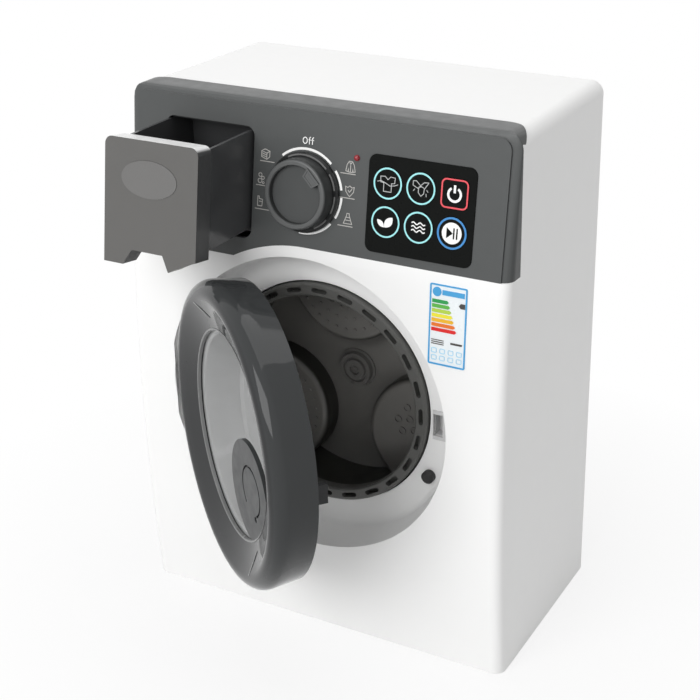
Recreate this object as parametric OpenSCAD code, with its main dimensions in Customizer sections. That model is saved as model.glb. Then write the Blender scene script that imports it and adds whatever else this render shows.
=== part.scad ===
// Toy washing machine: two shells, a control panel with a dial and six keys,
// a powder drawer, a hinged door and a geared drum. Millimetres, +Z up.
// Origin: centre of the cabinet's underside. The front faces -Y.

/* [Cabinet] */
// Width of the cabinet at the seam between its shells
body_w = 217; // [206:1:230]
// Height of the cabinet
body_h = 285; // [280:1:300]
// Depth of the rear shell, seam to back
rear_d = 111; // [104:1:130]
// How far the bowed front stands ahead of the seam
front_d = 17; // [16.5:0.5:22]
// Wall of the moulded shells
wall = 2.2; // [1.8:0.1:3]
// Radius of the upright edges
edge_r = 5.5; // [4:0.5:8]
// Radius of the roof edges
roof_r = 7; // [5:0.5:9]
// How much narrower the back is, each side
taper = 3.2; // [0:0.2:5]
// Height where the front bulges most, below the roof
bow_down = 170; // [155:1:185]
// How far the front draws back from its bulge to the leaning face
bow_top = 4.2; // [3:0.1:4.5]
// Height of the flat face that leans back under the roof
face_h = 73; // [69:1:75]
// How far the flat face leans back, degrees
lean = 8.5; // [6:0.1:8.6]
// Depth of the blind hole in each screw post
screw_bite = 9; // [6:1:14]

// Width of the energy sheet
label_w = 19.6; // [16:0.1:20]
// Height of the energy sheet
label_h = 40.5; // [30:0.5:41]
// Middle of the energy sheet, inside the recess's radius
label_in = 0.4; // [-8:0.1:1]
// Middle of the energy sheet, below the roof
label_down = 93.4; // [92:0.1:96]

/* [Door opening] */
// Drum axis, from the cabinet's middle
drum_x = -2; // [-4:0.5:4]
// Drum axis, below the roof
drum_down = 153.5; // [150:0.5:156]
// Radius of the round recess at the cabinet front
recess_r = 80.5; // [74:0.1:83]
// Depth of the recess floor behind the seam
recess_back = 4.5; // [4.2:0.1:7]

/* [Door] */
// Room around the door ring in its recess
door_gap = 2.4; // [2.2:0.1:4]
// How far the ring narrows to its back edge
door_back_in = 1.9; // [1.6:0.1:4]
// How far the ring narrows to its front crest
door_crest_in = 7.5; // [6:0.1:10]
// Width of the ring, outer edge to opening
door_ring_w = 24.4; // [22:0.1:28]
// Depth of the ring from crest to back edge
door_t = 22.7; // [20:0.1:23]
// How far the funnel sinks from crest to inner edge
funnel_d = 5.2; // [3:0.1:7]
// Wall of the door mouldings
door_wall = 2.4; // [2:0.1:3]
// Door crest ahead of the seam when closed
door_front = 20.3; // [20:0.1:22]
// Hinge axis, inside the recess's edge
hinge_in = 7.1; // [6.5:0.1:8]
// Hinge axis, ahead of the seam
hinge_front = 13.6; // [13:0.1:14.5]
// How far the door stands open at rest, degrees
door_rest = 38; // [0:1:80]
// Radius of the steel hinge pin
pin_r = 1.5; // [1.2:0.1:1.8]

/* [Drum] */
// Outer radius of the drum, inside the recess's radius
drum_in = 19.5; // [19.3:0.1:22]
// Width of the drum's front ring
ring_w = 6.5; // [5:0.1:9]
// Wall of the drum
drum_wall = 1.6; // [1.2:0.1:2.4]
// Front ring ahead of the recess floor
ring_proud = 3.5; // [2:0.1:4]
// Depth of the drum, front ring to back plate
drum_d = 38; // [34:1:44]
// Number of slots around the front ring
slot_n = 24; // [16:1:30]
// Number of lifters
lifter_n = 3; // [3:1:4]
// Radius of each round lifter
lifter_r = 34; // [26:1:36]
// Radius of the drum shaft
shaft_r = 3; // [2.5:0.1:4]
// Teeth on the drum gear
gear_n = 60; // [48:1:66]
// Teeth on the motor pinion
pinion_n = 10; // [9:1:12]
// Gear module
gear_m = 1; // [0.9:0.05:1.1]

/* [Control panel] */
// How far the panel stands over the roof
rim = 1; // [0.8:0.1:1.5]
// Wall of the panel
panel_wall = 2.4; // [2:0.1:3]
// Gap between the recess's radius and the panel's arch
arch_gap = 5.1; // [4.5:0.1:8]
// How far the panel's lower edge steps down under the drawer
step_down = 10.6; // [8:0.1:12]
// Depth of the panel's flap on the roof
flap_d = 14.3; // [12:0.1:18]
// Width of the panel's border beside its raised pad
border_w = 4.5; // [3:0.1:6]
// How far the pad stands ahead of the border
pad_t = 1; // [0.4:0.1:1.3]

/* [Dial] */
// Dial axis, from the cabinet's middle
dial_x = -3; // [-6:0.1:0]
// Dial axis, above the panel's lower edge
dial_up = 27.5; // [26:0.1:31]
// Radius of the fixed dial skirt
skirt_r = 19.8; // [19:0.1:21]
// Thickness of the fixed dial skirt
skirt_t = 2.6; // [2:0.1:3.5]
// Radius of the knob
knob_r = 17.6; // [15:0.1:19]
// Height of the knob over its skirt
knob_h = 7; // [5:0.1:10]
// Where the knob points at rest, degrees clockwise from up
knob_rest = 45; // [0:5:315]

/* [Keys] */
// Middle of the key field, from the cabinet's middle
keys_x = 60.3; // [58:0.1:64]
// Middle of the key field, above the panel's lower edge
keys_up = 29; // [28:0.1:32]
// Width of the black key plate
plate_w = 56.4; // [55:0.1:60]
// Height of the black key plate
plate_h = 47; // [45:0.1:50]
// Middle of the key plate, below the middle of the key field
plate_low = 1.2; // [0:0.1:2]
// Spacing of the key columns
key_dx = 17.5; // [16.5:0.1:18]
// Spacing of the key rows
key_dv = 18.5; // [17:0.1:19.5]
// Radius of a round key
key_r = 7.6; // [6.5:0.1:7.8]
// Travel of a key
key_travel = 0.8; // [0.4:0.1:1]

/* [Drawer] */
// Middle of the drawer, from the cabinet's middle
drawer_x = -59.6; // [-62:0.1:-58]
// Width of the drawer front
front_w = 54.4; // [53:0.1:56]
// Width of the opening in the panel
opening_w = 53.4; // [51:0.1:54]
// Lower edge of the opening, below the panel's lower edge
opening_drop = 0.4; // [-1:0.1:1]
// Height of the opening
opening_h = 55.8; // [52:0.1:58]
// Thickness of the drawer front
front_t = 11; // [8:0.5:12]
// Width of the tray
tray_w = 50.6; // [46:0.1:51]
// Height of the tray
tray_h = 49; // [44:0.1:50]
// Length of the tray
tray_l = 62; // [50:1:70]
// Wall of the tray
tray_wall = 1.6; // [1.2:0.1:2]
// How far the drawer stands out at rest
drawer_out = 37.4; // [0:0.1:45]
// How far the drawer slides out before its stop
drawer_travel = 49.4; // [46:0.1:52]

/* [Power] */
// Radius of a battery
cell_r = 7; // [5:0.1:7.4]
// Length of a battery
cell_l = 50; // [44:0.5:51]
// Number of batteries
cell_n = 3; // [2:1:3]
// Height of the battery box's middle
battery_z = 46; // [42:1:56]
// Radius of the speaker
speaker_r = 20; // [15:0.5:25]

/* [Fits] */
// Radial running clearance of pins, shafts and stems
run = 0.05; // [0.03:0.01:0.08]
// Gap between parts that move past each other
gap = 0.4; // [0.3:0.05:0.6]

/* [Hidden] */
$fn = 96;
eps = 0.01;
slice_t = 0.2;
label_t = 0.15;
seam_y = (front_d - rear_d) / 2;
back_y = seam_y + rear_d;
far = 400;
flat_z = body_h - face_h;
bow_z = body_h - bow_down;
bow_r = pow(flat_z - bow_z, 2) / (2 * bow_top);

// Where the cabinet's front stands at a height
function bow_y(z) = seam_y - front_d + pow(z - bow_z, 2) / (2 * bow_r);
function front_y(z) = z <= flat_z ? bow_y(z) : bow_y(flat_z) + (z - flat_z) * tan(lean);

drum_z = body_h - drum_down;
drum_r = recess_r - drum_in;
ring_in_r = drum_r - ring_w;
recess_y = seam_y + recess_back;
ring_y = recess_y - ring_proud;
drum_back_y = ring_y + drum_d;
drum_in_r = drum_r - drum_wall;
lip_y = bow_y(drum_z) - 0.5;

door_r = recess_r - door_gap;
door_back_r = door_r - door_back_in;
door_crest_r = door_r - door_crest_in;
door_open_r = door_r - door_ring_w;
door_y = seam_y - door_front;
hinge_x = drum_x - recess_r + hinge_in;
hinge_y = seam_y - hinge_front;

panel_arch_r = recess_r + arch_gap;
panel_low = drum_z + panel_arch_r;
panel_left_low = panel_low - step_down;
face_low = (panel_low - flat_z) / cos(lean);
dial_v = face_low + dial_up;
keys_v = face_low + keys_up;
opening_low = face_low - opening_drop;

// ---- helpers ----

// A solid of revolution around an axis along Y; points are [radius, y]
module around_y(points, x = drum_x, z = drum_z) {
    translate([x, 0, z])
        rotate([90, 0, 0])
            rotate_extrude()
                polygon([for (p = points) [p[0], -p[1]]]);
}

// A straight rod along Y from y0 to y1
module rod_y(r, y0, y1, x = drum_x, z = drum_z) {
    translate([x, y1, z])
        rotate([90, 0, 0])
            cylinder(r = r, h = y1 - y0);
}

// A flat outline in X and Z, drawn out along Y from y0 to y1
module slab_y(y0, y1) {
    translate([0, y1, 0])
        rotate([90, 0, 0])
            linear_extrude(y1 - y0)
                children();
}

// A rectangle with round corners, about its middle
module round_rect(w, h, r) {
    square([w - 2 * r, h], center = true);
    square([w, h - 2 * r], center = true);
    for (sx = [-1, 1], sy = [-1, 1])
        translate([sx * (w / 2 - r), sy * (h / 2 - r)])
            circle(r);
}

// Panel face frame: X across, Z up the sloping face, -Y out of it
module on_face(x = 0, v = 0) {
    translate([0, front_y(flat_z), flat_z])
        rotate([-lean, 0, 0])
            translate([x, 0, v])
                children();
}

// ---- cabinet ----

// Heights of the front's cross-sections, and the turns of its roof edges
bow_steps = [for (i = [0:8]) slice_t + flat_z * i / 8];
roof_steps = [0, 22.5, 45, 60, 75, 90];

// One thin cross-section of the front, just under z, from its rounded front edges to the
// plane at back; the edges are as deep as the front is there, less what a later shift needs
module front_slice(z, half, back, push = 0, shift = 0) {
    deep = max(slice_t, min(edge_r, seam_y - front_y(z) - push - slice_t - shift));
    y = front_y(z) + push;
    function side(a) = half - edge_r * (1 - cos(a));
    translate([0, 0, z - slice_t])
        linear_extrude(slice_t)
            polygon(concat([[-half, back]],
                [for (a = [0:10:90]) [-side(a), y + deep * (1 - sin(a))]],
                [for (a = [90:-10:0]) [side(a), y + deep * (1 - sin(a))]],
                [[half, back]]));
}

// The whole front form, ahead of the seam, shrunk by inset
module front_form(inset = 0) {
    translate([0, inset, 0])
        hull() {
            for (z = bow_steps)
                front_slice(max(z, inset + slice_t), body_w / 2 - inset, seam_y);
            for (a = roof_steps)
                front_slice(body_h - roof_r + (roof_r - inset) * sin(a),
                    body_w / 2 - roof_r + (roof_r - inset) * cos(a), seam_y);
        }
}

// The whole rear form, behind the seam, shrunk by inset
module rear_form(inset = 0) {
    r = roof_r - inset;
    w = body_w / 2 - inset;
    back_w = w - taper;
    y1 = back_y - inset;
    hull() {
        slab_y(seam_y, seam_y + eps) {
            translate([-w, inset])
                square([2 * w, body_h - roof_r - inset]);
            for (s = [-1, 1])
                translate([s * (w - r), body_h - roof_r])
                    circle(r, $fn = 32);
        }
        for (s = [-1, 1]) {
            translate([s * (back_w - r), y1 - r, body_h - roof_r])
                sphere(r, $fn = 32);
            translate([s * (back_w - r), y1 - r, inset])
                cylinder(r = r, h = eps, $fn = 32);
        }
    }
}

// Outline of the control panel seen from the front: its lower edge steps down under the
// drawer and arches over the door recess
module panel_zone() {
    difference() {
        translate([-far / 2, panel_left_low])
            square([far, far]);
        translate([drum_x, drum_z])
            circle(panel_arch_r, $fn = 180);
        translate([drum_x, 0])
            square([far, panel_low]);
    }
}

// Screw posts: [x, z, y] of each case screw, where y is its joint between front and rear
post_in = 11;
post_foot = 15;
post_down = [89, 19];
post_reach = 12;
post_heights = [post_foot, body_h - post_down[0], body_h - post_down[1]];
posts = [for (s = [-1, 1], z = post_heights)
    [s * (body_w / 2 - post_in), z, z > panel_left_low ? seam_y + post_reach : seam_y]];
post_r = 4;
screw_hole = 1.25;
well_r = 5;
well_in = 3.6;
well_floor = 3;
screw_head_r = 2.9;
screw_r = 1.5;

module at_posts(which) {
    for (p = which)
        translate([p[0], 0, p[1]])
            children();
}
low_posts = [for (p = posts) if (p[1] < panel_left_low) p];
high_posts = [for (p = posts) if (p[1] > panel_left_low) p];

// Posts that take their screws from behind, from inside the front wall to their joints
module front_posts(which, sink) {
    for (p = which)
        translate([p[0], 0, p[1]])
            difference() {
                rod_y(post_r, front_y(p[1] + post_r) + sink, p[2], 0, 0);
                rod_y(screw_hole, p[2] - screw_bite, p[2] + 1, 0, 0);
            }
}

// The recess and its floor, as one lathe-turned bowl
floor_in = drum_r + 0.8;
bowl_r = recess_r - 3;
module bowl() {
    fillet = 3;
    t = wall;
    around_y(concat(
        [[floor_in, recess_y], [bowl_r - fillet, recess_y]],
        [for (a = [0:15:90]) [bowl_r - fillet + fillet * sin(a), recess_y - fillet + fillet * cos(a)]],
        [[recess_r, lip_y + 1.2]],
        [for (a = [20:20:160]) [recess_r + 1.4 - 1.4 * cos(a), lip_y + 1.2 - 1.2 * sin(a)]],
        [[recess_r + 3.2, lip_y + 2.6], [recess_r + 3.2, lip_y + 8], [bowl_r + t + 0.6, recess_y - 1.4],
         [bowl_r + 0.4, recess_y + t], [floor_in, recess_y + t]]));
}

// All the room behind the front's surface
module behind_front() {
    front_form();
    slab_y(seam_y - 4, far)
        translate([-far / 2, 0])
            square(far);
}

// Slot for the latch hook in the recess floor
latch_in = 14.5;
latch_x = drum_x + recess_r - latch_in;
latch_z = drum_z - 4;
slot_w = 6;
slot_h = 13;

// Notch in the lip beside the hinge, where the door's edge swings through
relief_r = 7.4;
relief_half = 36;
module lip_relief() {
    intersection() {
        translate([hinge_x, hinge_y, drum_z - relief_half])
            cylinder(r = relief_r, h = 2 * relief_half);
        rod_y(recess_r + 2.2, -far, hinge_y + gap);
    }
}

module front_shell() {
    color("white")
        difference() {
            union() {
                difference() {
                    front_form();
                    front_form(wall);
                    rod_y(recess_r + 1, -far, far);
                    slab_y(-far, far)
                        panel_zone();
                }
                intersection() {
                    bowl();
                    behind_front();
                }
                front_posts(low_posts, wall / 2);
            }
            lip_relief();
            translate([latch_x - slot_w / 2, recess_y - 1, latch_z - slot_h / 2])
                cube([slot_w, wall + 2, slot_h]);
            rod_y(2, recess_y - 1, recess_y + 5, bumper_x, bumper_z);
            for (s = [-1, 1])
                rod_y(screw_hole, recess_y - 1, recess_y + 5, foot_x, drum_z + s * foot_screw);
        }
}

spring_room = 14;
battery_w = cell_l + spring_room;
battery_h = cell_n * (2 * cell_r + 0.6) + 4;
battery_d = 2 * cell_r + 1;
hatch_w = battery_w + 6;
hatch_h = battery_h + 14;
hatch_z = battery_z + 4;
speaker_x = 45;
speaker_down = 57;
speaker_z = body_h - speaker_down;
carrier_y = drum_back_y + 14;
carrier_t = 2.5;
carrier_posts = [for (sx = [-1, 1], sz = [-1, 1]) [drum_x + sx * 52, drum_z + (sz < 0 ? -41 : 22)]];

module rear_shell() {
    color("white")
        difference() {
            union() {
                difference() {
                    rear_form();
                    rear_form(wall);
                    translate([-body_w / 2 + wall, seam_y - 1, wall])
                        cube([body_w - 2 * wall, 1.5, body_h - roof_r - wall]);
                }
                intersection() {
                    union() {
                        for (p = posts)
                            rod_y(well_r, p[2], far, p[0], p[1]);
                        at_posts(carrier_posts)
                            rod_y(post_r, carrier_y + carrier_t, far, 0, 0);
                        rod_y(speaker_r + 3, back_y - wall - 3, far, speaker_x, speaker_z);
                    }
                    rear_form(wall / 2);
                }
            }
            for (p = posts) {
                rod_y(well_in, p[2] + well_floor, far, p[0], p[1]);
                rod_y(screw_r + 0.1, p[2] - 1, far, p[0], p[1]);
            }
            at_posts(carrier_posts)
                rod_y(screw_hole, carrier_y, carrier_y + carrier_t + screw_bite, 0, 0);
            rod_y(speaker_r + 0.3, back_y - wall - 4, back_y - wall, speaker_x, speaker_z);
            for (ring = [0:2], i = [0:max(1, ring * 6) - 1])
                rod_y(1.4, back_y - 10, far, speaker_x + ring * 6 * cos(i * 60 / max(1, ring)),
                    speaker_z + ring * 6 * sin(i * 60 / max(1, ring)));
            translate([-hatch_w / 2, back_y - wall - 1, hatch_z - hatch_h / 2])
                cube([hatch_w, wall + 2, hatch_h]);
        }
}

// ---- control panel ----

// The front form carried forward by ahead, sideways by grow and upwards by up, as far as the
// plane at back, with a round edge along the roof's front
edge_round = 2.5;
function edge_push(h) = h < edge_round ? edge_round - sqrt(pow(edge_round, 2) - pow(edge_round - h, 2)) : 0;
module panel_form(ahead, grow, up, back) {
    half = body_w / 2 + grow;
    translate([0, -ahead, 0])
        hull() {
            for (z = [slice_t, bow_z / 2, bow_z, (bow_z + flat_z) / 2, flat_z])
                front_slice(z, half, back + ahead, 0, pad_t);
            for (a = roof_steps)
                front_slice(body_h - roof_r + (roof_r + up) * sin(a),
                    half - (roof_r + grow) * (1 - cos(a)), back + ahead,
                    edge_push((roof_r + up) * (1 - sin(a))), pad_t);
        }
}

// The raised pad, seen from the front
module pad_zone() {
    corner = 6;
    top = body_h - 1.9;
    half = body_w / 2 - border_w;
    translate([-half, 0])
        square([2 * half, top - corner]);
    translate([-half + corner, 0])
        square([2 * (half - corner), top]);
    for (s = [-1, 1])
        translate([s * (half - corner), top - corner])
            circle(corner);
}

// Where the panel lies, seen from above: ahead of the seam, and a flap with round corners
module roof_zone() {
    half = body_w / 2 - flap_d;
    translate([-far / 2, seam_y - far])
        square([far, far]);
    translate([-half, seam_y - 1])
        square([2 * half, flap_d + 1]);
    for (s = [-1, 1])
        translate([s * half, seam_y])
            circle(flap_d);
}

// The panel's outer skin before its holes: a border, and a pad that stands ahead of it
module panel_skin() {
    difference() {
        union() {
            intersection() {
                panel_form(-pad_t, 0, rim, seam_y + flap_d);
                translate([0, 0, -1])
                    linear_extrude(far)
                        roof_zone();
            }
            intersection() {
                panel_form(0, 0, rim, seam_y + flap_d);
                slab_y(-far, seam_y + 1)
                    pad_zone();
            }
        }
        panel_form(-panel_wall, -panel_wall, rim - panel_wall, seam_y + 9);
        rear_form(-0.05);
    }
}

opening_mid_z = flat_z + (opening_low + opening_h / 2) * cos(lean);
plate_sink = 0.8;
plate_proud = 0.5;
key_proud = 0.9;
key_t = 1.8;
pocket_floor = key_t - key_proud + key_travel + 0.6;
pocket_wall = 1.6;
power_w = 2 * key_r - 1;
stem_r = 2.2;
stem_end = 7.6;
guide_end = stem_end - key_travel - 0.2;
board_y = 12.2;
board_t = 1.6;
board_w = 104;
board_h = 50;
board_x = 38.5;
led_x = 25.2;
led_up = 48;
led_v = face_low + led_up;
led_r = 1.5;
dial_hole = shaft_r + 1;

// Columns and rows of the keys, with the power key at the top right
key_spots = [for (row = [1, -1], col = [-1, 0, 1]) [keys_x + col * key_dx, keys_v + row * key_dv / 2]];
power_spot = 2;

// A key's outline, grown by grow
module key_outline(spot, grow) {
    if (spot == power_spot)
        round_rect(power_w + 2 * grow, power_w + 2 * grow, 3 + grow);
    else
        circle(key_r + grow);
}

module at_spot(spot) {
    translate([key_spots[spot][0], 0, key_spots[spot][1]])
        children();
}

// Posts under the circuit board's corners
board_posts = [for (sx = [-1, 1], sv = [-1, 1])
    [board_x + sx * (board_w / 2 - 4), keys_v + sv * (board_h / 2 - 3)]];

module console_panel() {
    color([0.37, 0.38, 0.38])
        difference() {
            union() {
                intersection() {
                    panel_skin();
                    slab_y(-far, far)
                        panel_zone();
                }
                front_posts(high_posts, panel_wall / 2);
                on_face() {
                    for (spot = [0:len(key_spots) - 1])
                        at_spot(spot) {
                            slab_y(panel_wall - 1, pocket_floor + pocket_wall)
                                key_outline(spot, gap / 2 + pocket_wall);
                            rod_y(stem_r + pocket_wall, pocket_floor, guide_end, 0, 0);
                        }
                    for (p = board_posts)
                        rod_y(2.6, panel_wall - 1, board_y, p[0], p[1]);
                }
            }
            on_face() {
                translate([keys_x, 0, keys_v - plate_low])
                    slab_y(-5, plate_sink)
                        round_rect(plate_w + 0.2, plate_h + 0.2, 4);
                for (spot = [0:len(key_spots) - 1])
                    at_spot(spot) {
                        slab_y(-5, pocket_floor)
                            key_outline(spot, gap / 2);
                        rod_y(stem_r + run, -1, guide_end + 1, 0, 0);
                    }
                rod_y(dial_hole, -5, 20, dial_x, dial_v);
                rod_y(led_r, -5, 20, led_x, led_v);
                for (p = board_posts)
                    rod_y(0.9, board_y - 6, board_y + 1, p[0], p[1]);
            }
            translate([drawer_x, 0, opening_mid_z])
                slab_y(-far, far)
                    round_rect(opening_w, opening_h, 5);
        }
}

module key_plate() {
    color([0.10, 0.11, 0.10])
        on_face()
            difference() {
                translate([keys_x, 0, keys_v - plate_low])
                    slab_y(-plate_proud, plate_sink)
                        round_rect(plate_w, plate_h, 4);
                for (spot = [0:len(key_spots) - 1])
                    at_spot(spot)
                        slab_y(-5, 5)
                            key_outline(spot, gap / 2);
            }
}

// A key: its cap in the plate, its stem down to the switch and the collar that keeps it in
module key(spot) {
    color([0.12, 0.13, 0.12])
        on_face()
            at_spot(spot) {
                slab_y(-key_proud, key_t - key_proud)
                    key_outline(spot, 0);
                rod_y(stem_r, key_t - key_proud - 0.5, stem_end, 0, 0);
                rod_y(stem_r + 0.8, guide_end + 0.2, stem_end, 0, 0);
            }
}
module key_shirt() { key(0); }
module key_wring() { key(1); }
module key_power() { key(2); }
module key_leaf() { key(3); }
module key_wave() { key(4); }
module key_play() { key(5); }

module circuit_board() {
    color([0.10, 0.35, 0.18])
        on_face()
            difference() {
                translate([board_x - board_w / 2, board_y, keys_v - board_h / 2])
                    cube([board_w, board_t, board_h]);
                for (p = board_posts)
                    rod_y(1.1, board_y - 1, board_y + board_t + 1, p[0], p[1]);
                rod_y(dial_hole, board_y - 1, board_y + board_t + 1, dial_x, dial_v);
            }
}

// Six push switches on the board, a hair clear of the key stems at full travel
module key_switches() {
    color([0.15, 0.15, 0.15])
        on_face()
            for (spot = [0:len(key_spots) - 1])
                at_spot(spot) {
                    translate([-3, board_y - 3.2, -3])
                        cube([6, 3.2, 6]);
                    rod_y(1.7, stem_end + key_travel + 0.1, board_y - 3, 0, 0);
                }
}

// The turning switch behind the dial
module dial_switch() {
    color([0.2, 0.2, 0.2])
        on_face()
            difference() {
                translate([dial_x - 9, 4, dial_v - 9])
                    cube([18, board_y - 4, 18]);
                rod_y(shaft_r + run, 0, board_y + 1, dial_x, dial_v);
            }
}

module led_lens() {
    color([0.75, 0.08, 0.10])
        on_face() {
            rod_y(led_r, -0.3, board_y, led_x, led_v);
            translate([led_x, -0.3, led_v])
                sphere(led_r - 0.05);
        }
}

// A lathe-turned solid on the dial's axis; points are [radius, y]
module on_dial(points) {
    on_face(dial_x, dial_v)
        around_y(points, 0, 0);
}

module dial_skirt() {
    color([0.16, 0.16, 0.16])
        on_dial([[dial_hole, 0], [skirt_r, 0], [skirt_r, -skirt_t + 0.8], [skirt_r - 0.8, -skirt_t],
            [dial_hole, -skirt_t]]);
}

knob_y0 = -skirt_t - gap;
knob_y1 = knob_y0 - knob_h;
knob_wall = 2;
disc_r = knob_r - 3.4;
disc_sink = knob_h - 3.2;
inlay_t = 0.7;
pointer_in = 4.1;
hub_r = shaft_r + 2;

// The pointer's outline, a trapezoid that widens outwards
module pointer_outline(grow) {
    polygon([[-3.6 - grow, disc_r - pointer_in - grow], [3.6 + grow, disc_r - pointer_in - grow],
        [4.8 + grow, disc_r + 0.8 + grow], [-4.8 - grow, disc_r + 0.8 + grow]]);
}

module at_pointer() {
    on_face(dial_x, dial_v)
        rotate([0, knob_rest, 0])
            children();
}

module knob_cap() {
    color([0.33, 0.34, 0.34])
        difference() {
            on_dial(concat(
                [[shaft_r, knob_y0], [hub_r, knob_y0], [hub_r, knob_y1 + disc_sink + knob_wall],
                 [knob_r - knob_wall, knob_y1 + disc_sink + knob_wall], [knob_r - knob_wall, knob_y0],
                 [knob_r, knob_y0]],
                [for (a = [0:18:90]) [knob_r - 1.6 + 1.2 * cos(a), knob_y1 + 1.2 - 1.2 * sin(a)]],
                [[disc_r + 0.4, knob_y1], [disc_r, knob_y1 + 0.4], [disc_r, knob_y1 + disc_sink],
                 [shaft_r, knob_y1 + disc_sink]]));
            at_pointer()
                slab_y(knob_y1 - 1, knob_y1 + disc_sink)
                    pointer_outline(0.05);
        }
}

module knob_disc() {
    color([0.38, 0.39, 0.39])
        difference() {
            on_dial([[0, knob_y1 + disc_sink], [disc_r - 0.1, knob_y1 + disc_sink],
                [disc_r - 0.1, knob_y1 + disc_sink - inlay_t], [0, knob_y1 + disc_sink - inlay_t]]);
            at_pointer()
                slab_y(knob_y1 - 1, knob_y1 + disc_sink + 1)
                    pointer_outline(0.05);
        }
}

module knob_pointer() {
    color([0.30, 0.31, 0.31])
        at_pointer()
            slab_y(knob_y1 - 0.3, knob_y1 + disc_sink)
                pointer_outline(0);
}

module knob_shaft() {
    color("silver")
        on_face()
            rod_y(shaft_r, knob_y1 + disc_sink, board_y - 0.5, dial_x, dial_v);
}

// ---- drawer ----

front_gap = 0.6;
front_top = opening_low + opening_h + 0.6;
front_low = opening_low - 5.6;
front_arch = 6.4;
notch_h = 7.8;
tray_top = 1.7;
tray_z0 = opening_mid_z + opening_h / 2 - tray_top - tray_h;
tray_y0 = front_y(flat_z) - 5;
tray_y1 = front_y(opening_mid_z) - front_gap + tray_l;
stop_w = 8;
stop_t = 2;
stop_h = gap + 1.2;

module drawer_pose() {
    translate([0, -drawer_out, 0])
        children();
}

module front_outline() {
    left = drawer_x - front_w / 2;
    corner = 4;
    difference() {
        union() {
            translate([left, front_low])
                square([front_w, front_top - front_low - corner]);
            translate([left + corner, front_low])
                square([front_w - 2 * corner, front_top - front_low]);
            for (x = [left + corner, left + front_w - corner])
                translate([x, front_top - corner])
                    circle(corner);
        }
        translate([left, front_low])
            polygon([[11.4, -eps], [16.6, notch_h], [34.9, notch_h], [38.5, -eps]]);
        translate([drum_x, drum_z - flat_z])
            circle(panel_arch_r + front_arch, $fn = 180);
    }
}

badge_x = -0.8;
badge_up = 10;
badge_v = opening_low + opening_h / 2 + badge_up;
badge_rx = 16.2;
badge_rv = 9.1;
badge_t = 0.8;
badge_sink = 0.5;
module badge_outline(grow) {
    polygon([for (a = [0:6:354]) [(badge_rx + grow) * cos(a), (badge_rv + grow) * sin(a)]]);
}

module drawer_front() {
    color([0.43, 0.42, 0.42])
        drawer_pose()
            on_face()
                difference() {
                    slab_y(-front_gap - front_t, -front_gap)
                        front_outline();
                    translate([drawer_x, 0, opening_low + opening_h / 2])
                        slab_y(-front_gap - front_t + door_wall, 1)
                            round_rect(tray_w - 8, tray_h - 14, 3);
                    translate([drawer_x + badge_x, 0, badge_v])
                        slab_y(-far, -front_gap - front_t + badge_sink)
                            badge_outline(0.05);
                }
}

module drawer_badge() {
    color([0.5, 0.5, 0.5])
        drawer_pose()
            on_face(drawer_x + badge_x, badge_v)
                slab_y(-front_gap - front_t + badge_sink - badge_t, -front_gap - front_t + badge_sink)
                    badge_outline(0);
}

// The tray, with a tab that meets the end of the guide's slot when the drawer is out
module drawer_tray() {
    color([0.25, 0.26, 0.26])
        drawer_pose()
            difference() {
                union() {
                    translate([drawer_x - tray_w / 2, tray_y0, tray_z0])
                        cube([tray_w, tray_y1 - tray_y0, tray_h]);
                    translate([drawer_x - stop_w / 2, tray_y1 - stop_t, tray_z0 + tray_h - eps])
                        cube([stop_w, stop_t, stop_h + eps]);
                }
                translate([drawer_x - tray_w / 2 + tray_wall, tray_y0 + 7 + tray_wall, tray_z0 + tray_wall])
                    cube([tray_w - 2 * tray_wall, tray_y1 - tray_y0 - 7 - 2 * tray_wall, tray_h]);
                on_face()
                    slab_y(-far, -front_gap)
                        translate([-far / 2, -far / 2])
                            square(far);
            }
}

// The fixed guide that the tray slides in, on the back of the panel
module drawer_sleeve() {
    color([0.2, 0.2, 0.2])
        difference() {
            translate([drawer_x - tray_w / 2 - gap - tray_wall, tray_y0, tray_z0 - gap - tray_wall])
                cube([tray_w + 2 * (gap + tray_wall), tray_y1 + 2 - tray_y0, tray_h + 2 * (gap + tray_wall)]);
            translate([drawer_x - tray_w / 2 - gap, tray_y0 - 1, tray_z0 - gap])
                cube([tray_w + 2 * gap, tray_y1 + 2 - tray_wall - tray_y0 + 1, tray_h + 2 * gap]);
            translate([drawer_x - stop_w / 2 - gap, tray_y1 - stop_t - drawer_travel - 0.1, tray_z0 + tray_h])
                cube([stop_w + 2 * gap, drawer_travel + stop_t + gap, gap + tray_wall + 1]);
            on_face()
                slab_y(-far, panel_wall)
                    translate([-far / 2, -far / 2])
                        square(far);
        }
}

// ---- drum ----

slot_mid_r = (drum_r + ring_in_r) / 2;
slot_len = 9;
slot_t = 2.6;
ring_t = 6;
gear_t = 5;
gear_gap = 3.6;
gear_y = drum_back_y + drum_wall + gear_gap;
lifter_front = 12;
lifter_in = 5.4;
lifter_mid_r = drum_in_r - lifter_in;
hub_cap_r = 11;
hub_cap_t = 3.2;

module drum_ring() {
    color([0.31, 0.32, 0.31])
        difference() {
            around_y([[ring_in_r, ring_y + 0.8], [ring_in_r + 0.8, ring_y], [drum_r - 0.8, ring_y],
                [drum_r, ring_y + 0.8], [drum_r, ring_y + ring_t], [ring_in_r, ring_y + ring_t]]);
            for (i = [0:slot_n - 1])
                translate([drum_x, 0, drum_z])
                    rotate([0, i * 360 / slot_n, 0])
                        translate([0, 0, slot_mid_r])
                            slab_y(ring_y - 1, ring_y + ring_t - 1.6)
                                round_rect(slot_len, slot_t, slot_t / 2 - eps);
        }
}

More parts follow.
